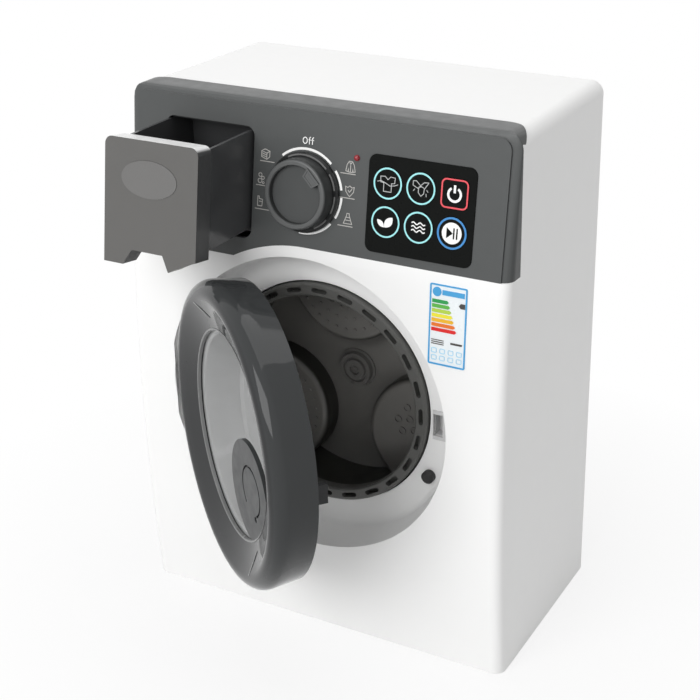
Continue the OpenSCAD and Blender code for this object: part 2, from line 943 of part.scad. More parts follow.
module drum_shell() {
    color([0.24, 0.235, 0.22])
        difference() {
            around_y([[shaft_r, drum_back_y], [drum_in_r, drum_back_y], [drum_in_r, ring_y + ring_t],
                [drum_r, ring_y + ring_t], [drum_r, drum_back_y + drum_wall], [shaft_r, drum_back_y + drum_wall]]);
            for (i = [0:slot_n - 1])
                translate([drum_x, ring_y + ring_t + 4, drum_z])
                    rotate([0, (i + 0.5) * 360 / slot_n, 0])
                        translate([-slot_len / 2, -slot_t / 2, drum_in_r - 1])
                            cube([slot_len, slot_t, drum_wall + 2]);
        }
}

// Round lifters that swell from the drum's wall
module drum_lifters() {
    edge = 4;
    front = drum_back_y - lifter_front;
    color([0.27, 0.265, 0.25])
        intersection() {
            for (i = [0:lifter_n - 1])
                translate([drum_x, 0, drum_z])
                    rotate([0, i * 360 / lifter_n, 0])
                        translate([0, 0, lifter_mid_r])
                            around_y(concat([[0, drum_back_y], [lifter_r, drum_back_y]],
                                [for (a = [0:15:90]) [lifter_r - edge + edge * cos(a), front + edge - edge * sin(a)]],
                                [[0, front]]), 0, 0);
            rod_y(drum_in_r - 0.2, -far, drum_back_y);
        }
}

module drum_hub() {
    color([0.33, 0.33, 0.32])
        around_y([[0, drum_back_y], [hub_cap_r, drum_back_y], [hub_cap_r, drum_back_y - 0.8],
            [hub_cap_r - 1.4, drum_back_y - 0.8], [hub_cap_r - 2, drum_back_y - hub_cap_t],
            [7.4, drum_back_y - hub_cap_t], [7, drum_back_y - hub_cap_t + 1],
            [6, drum_back_y - hub_cap_t + 1], [5.6, drum_back_y - hub_cap_t - 0.6],
            [3, drum_back_y - hub_cap_t - 0.6], [2.6, drum_back_y - hub_cap_t + 0.6],
            [1.6, drum_back_y - hub_cap_t + 0.6], [1.2, drum_back_y - hub_cap_t],
            [0, drum_back_y - hub_cap_t]]);
}

bush_len = 7;
bush_r = shaft_r + 3;
flange_t = 1.6;
bush_y0 = carrier_y - flange_t;
shaft_end = carrier_y + bush_len + 3;

module drum_shaft() {
    color("silver")
        rod_y(shaft_r, drum_back_y, shaft_end);
}

// Snap ring that keeps the shaft in its bush
module shaft_clip() {
    y = carrier_y + bush_len + gap;
    color([0.3, 0.3, 0.3])
        around_y([[shaft_r, y], [shaft_r + 2.6, y], [shaft_r + 2.6, y + 1.2], [shaft_r, y + 1.2]]);
}

// Gear teeth as plain trapezoids, short and thin enough to mesh freely
tooth_up = 0.85;
tooth_down = 1.15;
tooth_root = 0.92;
tooth_tip = 0.4;
function gear_outline(n, turn) =
    let (root = gear_m * (n / 2 - tooth_down), tip = gear_m * (n / 2 + tooth_up))
    [for (i = [0:n - 1], k = [[root, -tooth_root], [tip, -tooth_tip], [tip, tooth_tip], [root, tooth_root]])
        let (a = turn + i * 360 / n + k[1] * gear_m / k[0] * 180 / PI)
        [k[0] * sin(a), k[0] * cos(a)]];

gear_spacing = gear_m * ((gear_n + pinion_n) / 2 + 0.25);
motor_z = drum_z - gear_spacing;

// Both gears have a tooth or a gap that points straight down at rest
gear_turn = 180;
pinion_turn = 180 / pinion_n;

module drum_gear() {
    color([0.9, 0.88, 0.8])
        difference() {
            union() {
                translate([drum_x, 0, drum_z])
                    slab_y(gear_y, gear_y + gear_t)
                        polygon(gear_outline(gear_n, gear_turn));
                rod_y(shaft_r + 5, drum_back_y + drum_wall, gear_y + eps);
            }
            rod_y(shaft_r, -far, far);
        }
}

motor_r = 11;
motor_l = 26;
motor_shaft_r = 1;

module motor_pinion() {
    color([0.92, 0.9, 0.82])
        difference() {
            translate([drum_x, 0, motor_z])
                slab_y(gear_y - 0.5, gear_y + gear_t + 0.5)
                    polygon(gear_outline(pinion_n, pinion_turn));
            rod_y(motor_shaft_r, -far, far, drum_x, motor_z);
        }
}

module motor_shaft() {
    color("silver")
        rod_y(motor_shaft_r, gear_y - 0.5, carrier_y + carrier_t + motor_l - 6, drum_x, motor_z);
}

module motor() {
    y0 = carrier_y + carrier_t;
    color([0.7, 0.7, 0.72])
        difference() {
            union() {
                rod_y(motor_r, y0, y0 + motor_l, drum_x, motor_z);
                rod_y(3, y0 - carrier_t, y0 + 1, drum_x, motor_z);
            }
            rod_y(motor_shaft_r + run, y0 - carrier_t - 1, y0 + motor_l - 4, drum_x, motor_z);
        }
}

// The cradle that holds the motor behind the carrier
clip_l = 10;
module motor_clip() {
    y0 = carrier_y + carrier_t;
    w = motor_r + 3;
    color([0.2, 0.2, 0.2])
        difference() {
            translate([drum_x - w, y0, motor_z - w])
                cube([2 * w, clip_l, 2 * w]);
            rod_y(motor_r, y0 - 1, y0 + clip_l + 1, drum_x, motor_z);
        }
}

module drum_carrier() {
    lift = 27;
    drop = 52;
    half = 57;
    color([0.85, 0.85, 0.85])
        difference() {
            slab_y(carrier_y, carrier_y + carrier_t)
                translate([drum_x, drum_z + (lift - drop) / 2])
                    round_rect(2 * half, lift + drop, 6);
            rod_y(bush_r, -far, far);
            rod_y(3, -far, far, drum_x, motor_z);
            at_posts(carrier_posts)
                rod_y(screw_r, carrier_y - 1, carrier_y + carrier_t + 1, 0, 0);
        }
}

module drum_bush() {
    color([0.72, 0.53, 0.25])
        around_y([[shaft_r + run, bush_y0], [bush_r + 2, bush_y0], [bush_r + 2, carrier_y],
            [bush_r, carrier_y], [bush_r, carrier_y + bush_len], [shaft_r + run, carrier_y + bush_len]]);
}

// Pan-head screws that point along +Y or -Y
module screw(y, length, dir, head_r = screw_head_r, body_r = screw_hole) {
    head_t = 2;
    rod_y(head_r, dir > 0 ? y - head_t : y, dir > 0 ? y : y + head_t, 0, 0);
    rod_y(body_r, dir > 0 ? y - eps : y - length, dir > 0 ? y + length : y + eps, 0, 0);
}

module gear_screws() {
    color("silver")
        at_posts(carrier_posts)
            screw(carrier_y, carrier_t + screw_bite - 1, 1);
}

module case_screws() {
    color("silver")
        for (p = posts)
            translate([p[0], 0, p[1]])
                screw(p[2] + well_floor, screw_bite + well_floor - 1, -1);
}

// ---- power and sound ----

box_wall = 1.6;
box_y1 = back_y - wall;
box_y0 = box_y1 - battery_d - box_wall;
hatch_screw_z = battery_z + battery_h / 2 + 6;

module battery_box() {
    color([0.25, 0.25, 0.25])
        difference() {
            union() {
                translate([-battery_w / 2 - box_wall, box_y0, battery_z - battery_h / 2 - box_wall])
                    cube([battery_w + 2 * box_wall, box_y1 - box_y0, battery_h + 2 * box_wall]);
                translate([-hatch_w / 2 - 4, box_y1 - box_wall, hatch_z - hatch_h / 2 - 4])
                    cube([hatch_w + 8, box_wall, hatch_h + 8]);
                rod_y(post_r, box_y1 - 10, box_y1, 0, hatch_screw_z);
            }
            translate([-battery_w / 2, box_y0 + box_wall, battery_z - battery_h / 2])
                cube([battery_w, battery_d + 1, battery_h]);
            rod_y(screw_hole, box_y1 - 9, box_y1 + 1, 0, hatch_screw_z);
        }
}

cell_pitch = battery_h / cell_n;
cell_y = box_y0 + box_wall + cell_r + 0.1;
spring_l = (battery_w - cell_l) / 2 - 1;
function cell_z(i) = battery_z + (i - (cell_n - 1) / 2) * cell_pitch;
function cell_dir(i) = i % 2 == 0 ? 1 : -1;

module batteries() {
    nub = 1.2;
    color([0.8, 0.5, 0.15])
        for (i = [0:cell_n - 1])
            translate([0, cell_y, cell_z(i)])
                rotate([0, 90 * cell_dir(i), 0]) {
                    translate([0, 0, -cell_l / 2])
                        cylinder(r = cell_r, h = cell_l - nub);
                    translate([0, 0, cell_l / 2 - nub - eps])
                        cylinder(r = cell_r / 3, h = nub + eps);
                }
}

// A contact plate at each end of each cell, with a cone for its spring
module battery_contacts() {
    plate = 0.8;
    color("silver")
        for (i = [0:cell_n - 1], s = [-1, 1])
            translate([0, cell_y, cell_z(i)])
                rotate([0, 90 * s, 0]) {
                    translate([-5, -5, battery_w / 2 - plate])
                        cube([10, 10, plate]);
                    translate([0, 0, cell_l / 2 + 0.1])
                        cylinder(r1 = 2.4, r2 = 4.5, h = battery_w / 2 - cell_l / 2 - plate - 0.1 + eps);
                }
}

module battery_door() {
    color("white")
        difference() {
            translate([-hatch_w / 2 + gap / 2, box_y1, hatch_z - hatch_h / 2 + gap / 2])
                cube([hatch_w - gap, wall, hatch_h - gap]);
            rod_y(screw_r, box_y1 - 1, back_y + 1, 0, hatch_screw_z);
            rod_y(screw_head_r + 0.1, back_y - 1.2, back_y + 1, 0, hatch_screw_z);
            for (i = [-3:3])
                translate([-12, back_y - 0.6, battery_z - battery_h / 2 + 5 + i * 1.6])
                    cube([24, 1, 0.8]);
        }
}

module battery_screw() {
    color("silver")
        translate([0, 0, hatch_screw_z]) {
            rod_y(screw_head_r, back_y - 1.2, back_y, 0, 0);
            rod_y(screw_hole, box_y1 - 8, back_y - 1.2 + eps, 0, 0);
        }
}

speaker_y1 = back_y - wall;
module speaker() {
    color([0.15, 0.15, 0.15])
        around_y([[0, speaker_y1 - 3], [speaker_r * 0.4, speaker_y1 - 3], [speaker_r - 3, speaker_y1 - 0.6],
            [speaker_r, speaker_y1 - 0.6], [speaker_r, speaker_y1 - 3.6],
            [speaker_r - 3.2, speaker_y1 - 3.6], [speaker_r * 0.55, speaker_y1 - 7],
            [speaker_r * 0.55, speaker_y1 - 12], [0, speaker_y1 - 12]], speaker_x, speaker_z);
}

// Ring that clamps the speaker in its well
module speaker_ring() {
    y = speaker_y1 - 3.6;
    color([0.3, 0.3, 0.3])
        around_y([[speaker_r - 3, y - 1.6], [speaker_r + 3, y - 1.6], [speaker_r + 3, speaker_y1 - 3],
            [speaker_r, speaker_y1 - 3], [speaker_r, y], [speaker_r - 3, y]], speaker_x, speaker_z);
}

// ---- door and its hinge ----

barrel_r = pin_r + 1.8;
lug_half = 15;
barrel_half = 9;
lug_gap = 0.3;
foot_x = hinge_x + 8.3;
foot_t = 1.5;
foot_in = 0.2;
foot_end = drum_x - drum_r - 1.2;
foot_screw = 6.5;
bumper_r = 3.4;
bumper_at = door_back_r - door_wall - 0.4 - bumper_r;
bumper_x = drum_x + bumper_at * cos(29);
bumper_z = drum_z - bumper_at * sin(29);
pocket_x = hinge_x + 14;
pocket_back = 4;

module hinge_bracket() {
    color([0.3, 0.3, 0.3])
        difference() {
            union() {
                translate([hinge_x, hinge_y, drum_z - barrel_half])
                    cylinder(r = barrel_r, h = 2 * barrel_half);
                translate([hinge_x - 1.6, hinge_y, drum_z - barrel_half])
                    cube([3.2, recess_y - hinge_y, 2 * barrel_half]);
                translate([hinge_x - foot_in, recess_y - foot_t, drum_z - barrel_half])
                    cube([foot_end - hinge_x + foot_in, foot_t, 2 * barrel_half]);
            }
            translate([hinge_x, hinge_y, drum_z - barrel_half - 1])
                cylinder(r = pin_r, h = 2 * barrel_half + 2);
            for (s = [-1, 1])
                rod_y(screw_r, recess_y - foot_t - 1, recess_y + 1, foot_x, drum_z + s * foot_screw);
            difference() {
                translate([hinge_x - 5, recess_y - 6, drum_z - barrel_half - 1])
                    cube([6, 7, 2 * barrel_half + 2]);
                rod_y(bowl_r - 0.3, -far, far);
            }
        }
}

module hinge_screws() {
    head_t = 1.2;
    color("silver")
        for (s = [-1, 1])
            translate([foot_x, 0, drum_z + s * foot_screw]) {
                rod_y(2, recess_y - foot_t - head_t, recess_y - foot_t, 0, 0);
                rod_y(screw_hole, recess_y - foot_t - eps, recess_y + wall + 2, 0, 0);
            }
}

module hinge_pin() {
    color("silver")
        translate([hinge_x, hinge_y, drum_z - lug_half])
            cylinder(r = pin_r, h = 2 * lug_half);
}

// Turns the door from shut to where it stands at rest
module door_pose() {
    translate([hinge_x, hinge_y, 0])
        rotate([0, 0, -door_rest])
            translate([-hinge_x, -hinge_y, 0])
                children();
}

crest_d = 7.9;
funnel_y = door_y + funnel_d + door_wall;
frame_t = 2;
frame_y1 = recess_y - ring_proud - 1;
frame_y0 = frame_y1 - frame_t;
frame_r = door_back_r - door_wall - 0.1;
glass_t = 1.4;
tube_r = door_open_r + 0.4;
tube_wall = 2.4;
door_post_at = door_back_r - 11.2;
door_post_r = 3;

// Screw places around the door
module at_door_posts() {
    for (a = [45:90:315])
        translate([drum_x + door_post_at * cos(a), 0, drum_z + door_post_at * sin(a)])
            children();
}

// Room in the door for the hinge bracket as the door swings
module hinge_room() {
    translate([-far, hinge_y - barrel_r - gap, drum_z - barrel_half - lug_gap])
        cube([far + hinge_x + barrel_r + gap, far, 2 * (barrel_half + lug_gap)]);
    translate([-far, hinge_y + pocket_back, drum_z - barrel_half - lug_gap])
        cube([far + pocket_x, far, 2 * (barrel_half + lug_gap)]);
}

module door_outer_ring() {
    w = door_wall;
    color([0.28, 0.285, 0.285])
        door_pose()
            difference() {
                union() {
                    around_y(concat(
                        [[door_open_r, funnel_y - w], [door_crest_r - 2, door_y + 0.35], [door_crest_r, door_y]],
                        [for (a = [15:15:90]) [door_crest_r + (door_r - door_crest_r) * sin(a),
                            door_y + crest_d * (1 - cos(a))]],
                        [[door_back_r, door_y + door_t], [door_back_r - w, door_y + door_t]],
                        [for (a = [90:-15:0]) [door_crest_r - 0.6 + (door_r - w - door_crest_r + 0.6) * sin(a),
                            door_y + w + crest_d * (1 - cos(a))]],
                        [[door_open_r + 1.5, funnel_y], [door_open_r, funnel_y]]));
                    for (s = [0, 1])
                        mirror_z(s)
                            translate([hinge_x, hinge_y, drum_z + barrel_half + lug_gap])
                                cylinder(r = pin_r + 1.5, h = lug_half - barrel_half - lug_gap);
                    at_door_posts()
                        rod_y(door_post_r, door_y + 3, frame_y0, 0, 0);
                }
                hinge_room();
                translate([hinge_x, hinge_y, drum_z - lug_half - 1])
                    cylinder(r = pin_r + run, h = 2 * lug_half + 2);
                at_door_posts()
                    rod_y(1.1, frame_y0 - 8, frame_y0 + 1, 0, 0);
            }
}

// Mirrors about the drum's height when on is 1
module mirror_z(on) {
    translate([0, 0, on * 2 * drum_z])
        mirror([0, 0, on])
            children();
}

module door_inner_ring() {
    color([0.25, 0.25, 0.25])
        door_pose()
            difference() {
                around_y([[tube_r, funnel_y + glass_t], [tube_r + tube_wall, funnel_y + glass_t],
                    [tube_r + tube_wall, frame_y0], [frame_r, frame_y0], [frame_r, frame_y1], [tube_r, frame_y1]]);
                hinge_room();
                at_door_posts()
                    rod_y(1.1, frame_y0 - 1, frame_y1 + 1, 0, 0);
            }
}

// The clear bowl in the door
module door_window() {
    t = glass_t;
    y = funnel_y;
    rim_r = tube_r + 3.5;
    mouth_r = door_open_r - 2.4;
    bowl_d = 19;
    base_r = door_open_r - 10.7;
    color([0.75, 0.77, 0.78, 0.5])
        door_pose()
            around_y([[rim_r, y], [mouth_r, y], [mouth_r - 1, y + 1], [base_r + 1, y + bowl_d - 1.6],
                [base_r - 1, y + bowl_d], [base_r / 2, y + bowl_d + 1.2], [0, y + bowl_d + 1.6],
                [0, y + bowl_d + 1.6 + t], [base_r / 2, y + bowl_d + 1.2 + t], [base_r - 0.4, y + bowl_d + t],
                [base_r + 1 + t, y + bowl_d - 1], [mouth_r + 0.6, y + t], [rim_r, y + t]]);
}

// Round plate behind the free side of the door's opening
disc_in = 21.5;
disc_turn = 36.2;
disc_x = (door_open_r - disc_in) * cos(disc_turn);
disc_down = (door_open_r - disc_in) * sin(disc_turn);
handle_r = 26.5;
disc_t = 2.2;
module handle_disc() {
    y1 = funnel_y - eps;
    x = drum_x + disc_x;
    z = drum_z - disc_down;
    color([0.3, 0.3, 0.3])
        door_pose()
            difference() {
                intersection() {
                    rod_y(handle_r, y1 - disc_t, y1, x, z);
                    rod_y(door_open_r - 0.05, y1 - disc_t, y1);
                }
                translate([x + 3, 0, z + 2])
                    rotate([90, 0, 0])
                        rotate([0, 0, -60])
                            rotate_extrude(angle = 290)
                                translate([12, -y1 + disc_t - 1])
                                    square([1.2, 2]);
                rod_y(1.6, y1 - disc_t - 1, y1 - disc_t + 1, x + 8, z - 11);
            }
}

hook_w = 3;
hook_h = 10;
module latch_hook() {
    base_t = 1.5;
    tip = wall + recess_y - frame_y1 + 3.5;
    color([0.12, 0.12, 0.12])
        door_pose() {
            translate([latch_x - 2.5, frame_y1, latch_z - hook_h / 2 - 1.5])
                cube([6.5, base_t, hook_h + 3]);
            translate([latch_x - hook_w / 2, frame_y1, latch_z - hook_h / 2])
                cube([hook_w, tip, hook_h]);
        }
}

module door_screws() {
    color("silver")
        door_pose()
            at_door_posts() {
                rod_y(2.4, frame_y1, frame_y1 + 0.9, 0, 0);
                rod_y(1.1, frame_y0 - 7, frame_y1 + eps, 0, 0);
            }
}

// Frame around the latch slot in the recess floor
module latch_keeper() {
    edge = 1.6;
    keeper_t = 0.8;
    color([0.75, 0.75, 0.75])
        difference() {
            translate([latch_x - slot_w / 2 + 0.2, recess_y - keeper_t, latch_z - slot_h / 2 - edge])
                cube([slot_w + edge, keeper_t, slot_h + 2 * edge]);
            translate([latch_x - slot_w / 2 + 0.6, recess_y - 2, latch_z - slot_h / 2 + 0.4])
                cube([slot_w - 0.8, 3, slot_h - 0.8]);
        }
}

// Soft button that the shut door rests on
module door_bumper() {
    color([0.15, 0.15, 0.15])
        around_y([[0, frame_y1 + 0.2], [bumper_r - 1.2, frame_y1 + 0.2], [bumper_r, frame_y1 + 1.4],
            [bumper_r, recess_y], [2, recess_y], [2, recess_y + wall], [0, recess_y + wall]],
            bumper_x, bumper_z);
}

// Energy sheet on the front, right of the door
module energy_label() {
    color([0.92, 0.95, 1])
        intersection() {
            difference() {
                translate([0, -label_t, 0])
                    front_form();
                front_form();
            }
            slab_y(-far, seam_y - 1)
                translate([drum_x + recess_r - label_in, body_h - label_down])
                    square([label_w, label_h], center = true);
        }
}

front_shell();
rear_shell();
console_panel();
key_plate();
dial_skirt();
led_lens();
drawer_sleeve();
circuit_board();
key_switches();
dial_switch();
drum_carrier();
drum_bush();
motor();
motor_clip();
gear_screws();
battery_box();
batteries();
battery_contacts();
battery_door();
battery_screw();
speaker();
speaker_ring();
hinge_bracket();
hinge_pin();
hinge_screws();
latch_keeper();
door_bumper();
case_screws();
energy_label();
drum_ring();
drum_shell();
drum_lifters();
drum_hub();
drum_shaft();
shaft_clip();
drum_gear();
motor_pinion();
motor_shaft();
door_outer_ring();
door_inner_ring();
door_window();
handle_disc();
latch_hook();
door_screws();
drawer_front();
drawer_tray();
drawer_badge();
knob_cap();
knob_disc();
knob_shaft();
knob_pointer();
key_shirt();
key_wring();
key_power();
key_leaf();
key_wave();
key_play();
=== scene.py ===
"""Looks of the toy washing machine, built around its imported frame. Metres, +Z up, the front faces -Y."""

import math

import bmesh
import bpy
from mathutils import Matrix, Vector


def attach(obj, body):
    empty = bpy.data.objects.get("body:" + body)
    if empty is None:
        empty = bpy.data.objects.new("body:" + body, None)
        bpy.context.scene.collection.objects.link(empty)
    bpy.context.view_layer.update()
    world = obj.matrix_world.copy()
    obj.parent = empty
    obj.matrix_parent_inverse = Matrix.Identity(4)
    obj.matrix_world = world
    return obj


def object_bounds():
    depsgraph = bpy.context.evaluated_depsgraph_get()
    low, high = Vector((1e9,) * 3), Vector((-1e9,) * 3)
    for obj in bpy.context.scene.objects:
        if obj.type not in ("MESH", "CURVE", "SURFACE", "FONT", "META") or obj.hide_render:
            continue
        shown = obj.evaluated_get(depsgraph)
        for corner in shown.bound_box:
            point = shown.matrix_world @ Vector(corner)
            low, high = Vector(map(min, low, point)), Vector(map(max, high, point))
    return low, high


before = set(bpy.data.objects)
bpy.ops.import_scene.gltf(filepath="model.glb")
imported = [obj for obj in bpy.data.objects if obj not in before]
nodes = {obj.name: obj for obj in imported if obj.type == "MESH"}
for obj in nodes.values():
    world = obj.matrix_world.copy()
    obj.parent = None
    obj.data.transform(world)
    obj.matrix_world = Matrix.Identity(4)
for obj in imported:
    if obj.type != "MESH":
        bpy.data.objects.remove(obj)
cad_box = [list(corner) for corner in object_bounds()]

# Sizes are in millimetres, as in the part's source, unless a comment names metres
MM = 0.001

# The bowed front and the sloping panel face over it
BOW_Y = -64
BOW_Z = 115
BOW_R = 1120.1
FLAT_Z = 212
FACE_Y = BOW_Y + (FLAT_Z - BOW_Z) ** 2 / (2 * BOW_R)
LEAN = math.radians(8.5)

# Thickness of a print on the panel, the dial and the keys, and of the painted highlight on the dial's skirt
PRINT = 0.06

# The dial: its middle across and up the panel face, and heights out of that face
DIAL = (-3, 32.66)
SKIRT_T = 2.6
KNOB_FACE = 10
POINTER_FACE = KNOB_FACE + 0.3
KNOB_REST = math.radians(45)

# The scale around the dial and the painted highlight on its skirt's bevel, broken like the scale: how far
# their middle lies over the dial's, their radius, the width of their lines, and their arcs in degrees,
# clockwise from up
SCALE_UP = 0.5
SCALE_R = 20.75
SCALE_W = 1.2
SCALE_ARCS = [(-40, 43), (54, 81), (91, 121), (132, 186)]
SKIRT_HIGHLIGHT_UP = 0.3
SKIRT_HIGHLIGHT_R = 18.4
SKIRT_HIGHLIGHT_W = 0.8
SKIRT_HIGHLIGHT_ARCS = [(-28, 45), (54, 80), (89, 116), (129, 155)]

# The word Off over the dial, by the middle of its O, and the drawings beside it: their half size, the width
# of their lines, and the line under each by its reach outward and inward, its drop and its width
WORD = (-3.9, 57.9)
ICON_HALF = 2.8
ICON_LINE = 0.36
UNDERLINE_OUT = 2.9
UNDERLINE_IN = 5.4
UNDERLINE_DROP = 3.5
UNDERLINE_W = 0.4

# The keys: the middle of their group, their spacing, the height of their tops, their rings, the frame of the
# power key, the disc of the play key, and the half size and line width of their drawings
KEYS = (60.3, 34.16)
KEY_STEP = (17.5, 18.5)
KEY_TOP = 0.9
KEY_RING_R = 7.15
KEY_FRAME = 13.2
KEY_FRAME_CORNER = 2.3
KEY_DISC_R = 5.1
KEY_ICON_HALF = 4.1
KEY_LINE = 0.32

# The door: its hinge and its angle at rest, then, with the door shut, its crest, the funnel inside it
# and the window's rim as points of radius and y
HINGE = (-75.4, -60.6)
DOOR_REST = math.radians(38)
CREST_R = 70.6
CREST_Y = -67.3
FUNNEL_R = 53.7
FUNNEL_D = 5.2
RIM_PROFILE = [(53.75, -62.3), (52.9, -62.0), (52.6, -60.6), (53.75, -60.2)]

# The funnel's ribs: start and end as degrees and shares of the funnel's depth, width in degrees, foot and top
RIBS = [((329, 0.12), (343, 0.66), 1.3), ((151, 0.08), (138, 0.66), -1.3)]
RIB_FOOT = -0.6
RIB_TOP = 0.35

# The drum's middle across and up, and its lifters' middles and front faces
DRUM_MIDDLE = (-2, 131.5)
LIFTER_MIDDLE_R = 54
LIFTER_FACE_Y = -20

# The bumps on two lifters: turns of those lifters, rows as radius and count, and the circle they stay inside
BUMP_TURNS = (0, 240)
BUMP_ROWS = [(9, 10), (15, 17), (21, 24), (27, 30)]
BUMPS_R = 56.5
BUMP_R = 0.95
BUMP_H = 0.55
BUMP_FOOT = -0.2

# The rings on the third lifter: places across and up, and their size
RING_PLACES = [(34.2, 120.5), (28.9, 112.8), (35.6, 114), (31.2, 106.4), (38.2, 107.8)]
RING_R = 1.9
RING_W = 0.8
RING_H = 0.5

# The pocket behind the latch's slot: left, right, foot and head, its walls' thickness, and its back and front
# as distances ahead of the lifters' faces
POCKET = (61.05, 67.2, 120.6, 134.4)
POCKET_SIDE = 0.45
POCKET_WALL = 0.5
POCKET_BACK = 14.9
POCKET_FRONT = 20.3

# The energy sheet, the foot and the top of its print over the cabinet's front, and its bars
SHEET_MIDDLE = (78.1, 191.6)
SHEET_SIZE = (19.6, 40.5)
SHEET_LOW = 0.1
SHEET_HIGH = 0.4
BAR_STEP = 2.35
BAR_H = 1.7
BAR_TIP = 0.9
BAR_GROWTH = 0.75

# Shading: the distance at which vertices are joined, and the angles up to which an edge is smooth
WELD = 0.002
NODE_SMOOTH = math.radians(24)
PIECE_SMOOTH = math.radians(35)

# Most of a noise texture's values lie between these two
NOISE_LOW = 0.3
NOISE_HIGH = 0.7

# Directions that a face may look in
UP = (0, 0, 1)
RIGHT = (1, 0, 0)
AHEAD = (0, -1, 0)
OUT_OF_PANEL = (0, -math.cos(LEAN), math.sin(LEAN))
OUT_OF_DOOR = (-math.sin(DOOR_REST), -math.cos(DOOR_REST), 0)

# The camera: azimuth, elevation and roll in degrees, its place, and its lens for a sensor of this width
CAMERA_ANGLES = (30.3288, 24.1477, -1.23217)
CAMERA_PLACE = (377.78, -665.31, 482.07)
CAMERA_LENS = 79.70
CAMERA_SENSOR = 36

# Surroundings: their strength as a lamp, and in metres the floor's size and its gap under the object
FILL_LIGHT = 0.42
FLOOR_SIZE = 8
FLOOR_GAP = 0.0002

# The floor's fade to white: distances from its middle in metres, and the share of white near the middle
FADE_START = 0.12
FADE_END = 0.30
WHITE_SHARE = 0.78


# ---- materials ----

def node_tree(name):
    """A new material's tree with its shader and its object coordinates."""
    material = bpy.data.materials.new(name)
    material.use_nodes = True
    tree = material.node_tree
    shader = tree.nodes["Principled BSDF"]
    coordinates = tree.nodes.new("ShaderNodeTexCoord")
    return material, tree, shader, coordinates.outputs["Object"]


def noise(tree, coordinates, scale, detail=3.0):
    """Noise over the object, its scale in cells per metre."""
    texture = tree.nodes.new("ShaderNodeTexNoise")
    texture.inputs["Scale"].default_value = scale
    texture.inputs["Detail"].default_value = detail
    tree.links.new(coordinates, texture.inputs["Vector"])
    return texture.outputs["Fac"]


def spread(tree, value, low, high):
    """A noise's usual range of values stretched to the range low to high."""
    ramp = tree.nodes.new("ShaderNodeMapRange")
    ramp.inputs["From Min"].default_value = NOISE_LOW
    ramp.inputs["From Max"].default_value = NOISE_HIGH
    ramp.inputs["To Min"].default_value = low
    ramp.inputs["To Max"].default_value = high
    tree.links.new(value, ramp.inputs["Value"])
    return ramp.outputs["Result"]


def blend_colours(tree, value, first, second):
    """A mix of two colours by a value."""
    mix = tree.nodes.new("ShaderNodeMix")
    mix.data_type = "RGBA"
    tree.links.new(value, mix.inputs["Factor"])
    mix.inputs["A"].default_value = (*first, 1)
    mix.inputs["B"].default_value = (*second, 1)
    return mix.outputs["Result"]


def paint_light_by_facing(tree, colours, direction, start, end, colour):
    """Painted light and shade: another colour on the faces that look in a direction, none at the cosine
    start, all of it at end.
    """
    where = tree.nodes.new("ShaderNodeTexCoord")
    dot = tree.nodes.new("ShaderNodeVectorMath")
    dot.operation = "DOT_PRODUCT"
    dot.inputs[1].default_value = direction
    share = tree.nodes.new("ShaderNodeMapRange")
    share.inputs["From Min"].default_value = start
    share.inputs["From Max"].default_value = end
    mix = tree.nodes.new("ShaderNodeMix")
    mix.data_type = "RGBA"
    mix.inputs["B"].default_value = (*colour, 1)
    tree.links.new(where.outputs["Normal"], dot.inputs[0])
    tree.links.new(dot.outputs["Value"], share.inputs["Value"])
    tree.links.new(share.outputs["Result"], mix.inputs["Factor"])
    tree.links.new(colours, mix.inputs["A"])
    return mix.outputs["Result"]


def moulded(name, colour, rough=0.35, vary=0.06, grain=1400, bump=0.03, shine=0.5, coat=0.0, faces=()):
    """Moulded plastic: faint clouds in its colour, uneven gloss and a fine skin.

    Each of the faces is a direction, the cosines where its colour starts and ends, and the colour: painted
    light and shade.
    """
    material, tree, shader, where = node_tree(name)
    darker = tuple(c * (1 - vary) for c in colour)
    lighter = tuple(min(1, c * (1 + vary)) for c in colour)
    clouds = noise(tree, where, 45)
    colours = blend_colours(tree, clouds, darker, lighter)
    for look in faces:
        colours = paint_light_by_facing(tree, colours, *look)
    tree.links.new(colours, shader.inputs["Base Color"])
    gloss = spread(tree, noise(tree, where, 160), rough * 0.85, rough * 1.15)
    tree.links.new(gloss, shader.inputs["Roughness"])
    skin = tree.nodes.new("ShaderNodeBump")
    skin.inputs["Strength"].default_value = bump
    skin.inputs["Distance"].default_value = 0.1 * MM
    tree.links.new(noise(tree, where, grain), skin.inputs["Height"])
    tree.links.new(skin.outputs["Normal"], shader.inputs["Normal"])
    shader.inputs["Specular IOR Level"].default_value = shine
    shader.inputs["Coat Weight"].default_value = coat
    return material


def clear(name, colour, rough=0.1, through=0.5):
    """Pale smoky plastic that lets some light through."""
    material, tree, shader, where = node_tree(name)
    tint = blend_colours(tree, noise(tree, where, 40), colour, tuple(c * 0.96 for c in colour))
    tree.links.new(tint, shader.inputs["Base Color"])
    gloss = spread(tree, noise(tree, where, 90), rough * 0.6, rough * 1.6)
    tree.links.new(gloss, shader.inputs["Roughness"])
    shader.inputs["Transmission Weight"].default_value = through
    shader.inputs["IOR"].default_value = 1.2
    return material


def brushed(name, colour, rough=0.3):
    """Turned or drawn metal with fine lines."""
    material, tree, shader, where = node_tree(name)
    stretch = tree.nodes.new("ShaderNodeMapping")
    stretch.inputs["Scale"].default_value = (1, 0.05, 1)
    tree.links.new(where, stretch.inputs["Vector"])
    lines = noise(tree, stretch.outputs["Vector"], 2600, 2)
    darker = tuple(c * 0.85 for c in colour)
    tree.links.new(blend_colours(tree, lines, darker, colour), shader.inputs["Base Color"])
    tree.links.new(spread(tree, lines, rough * 0.7, rough * 1.3), shader.inputs["Roughness"])
    shader.inputs["Metallic"].default_value = 1.0
    return material


def ink(name, colour, rough=0.45, vary=0.04):
    """A matt print, also used for the painted highlight on the dial's skirt."""
    return moulded(name, colour, rough, vary, grain=3000, bump=0.05)
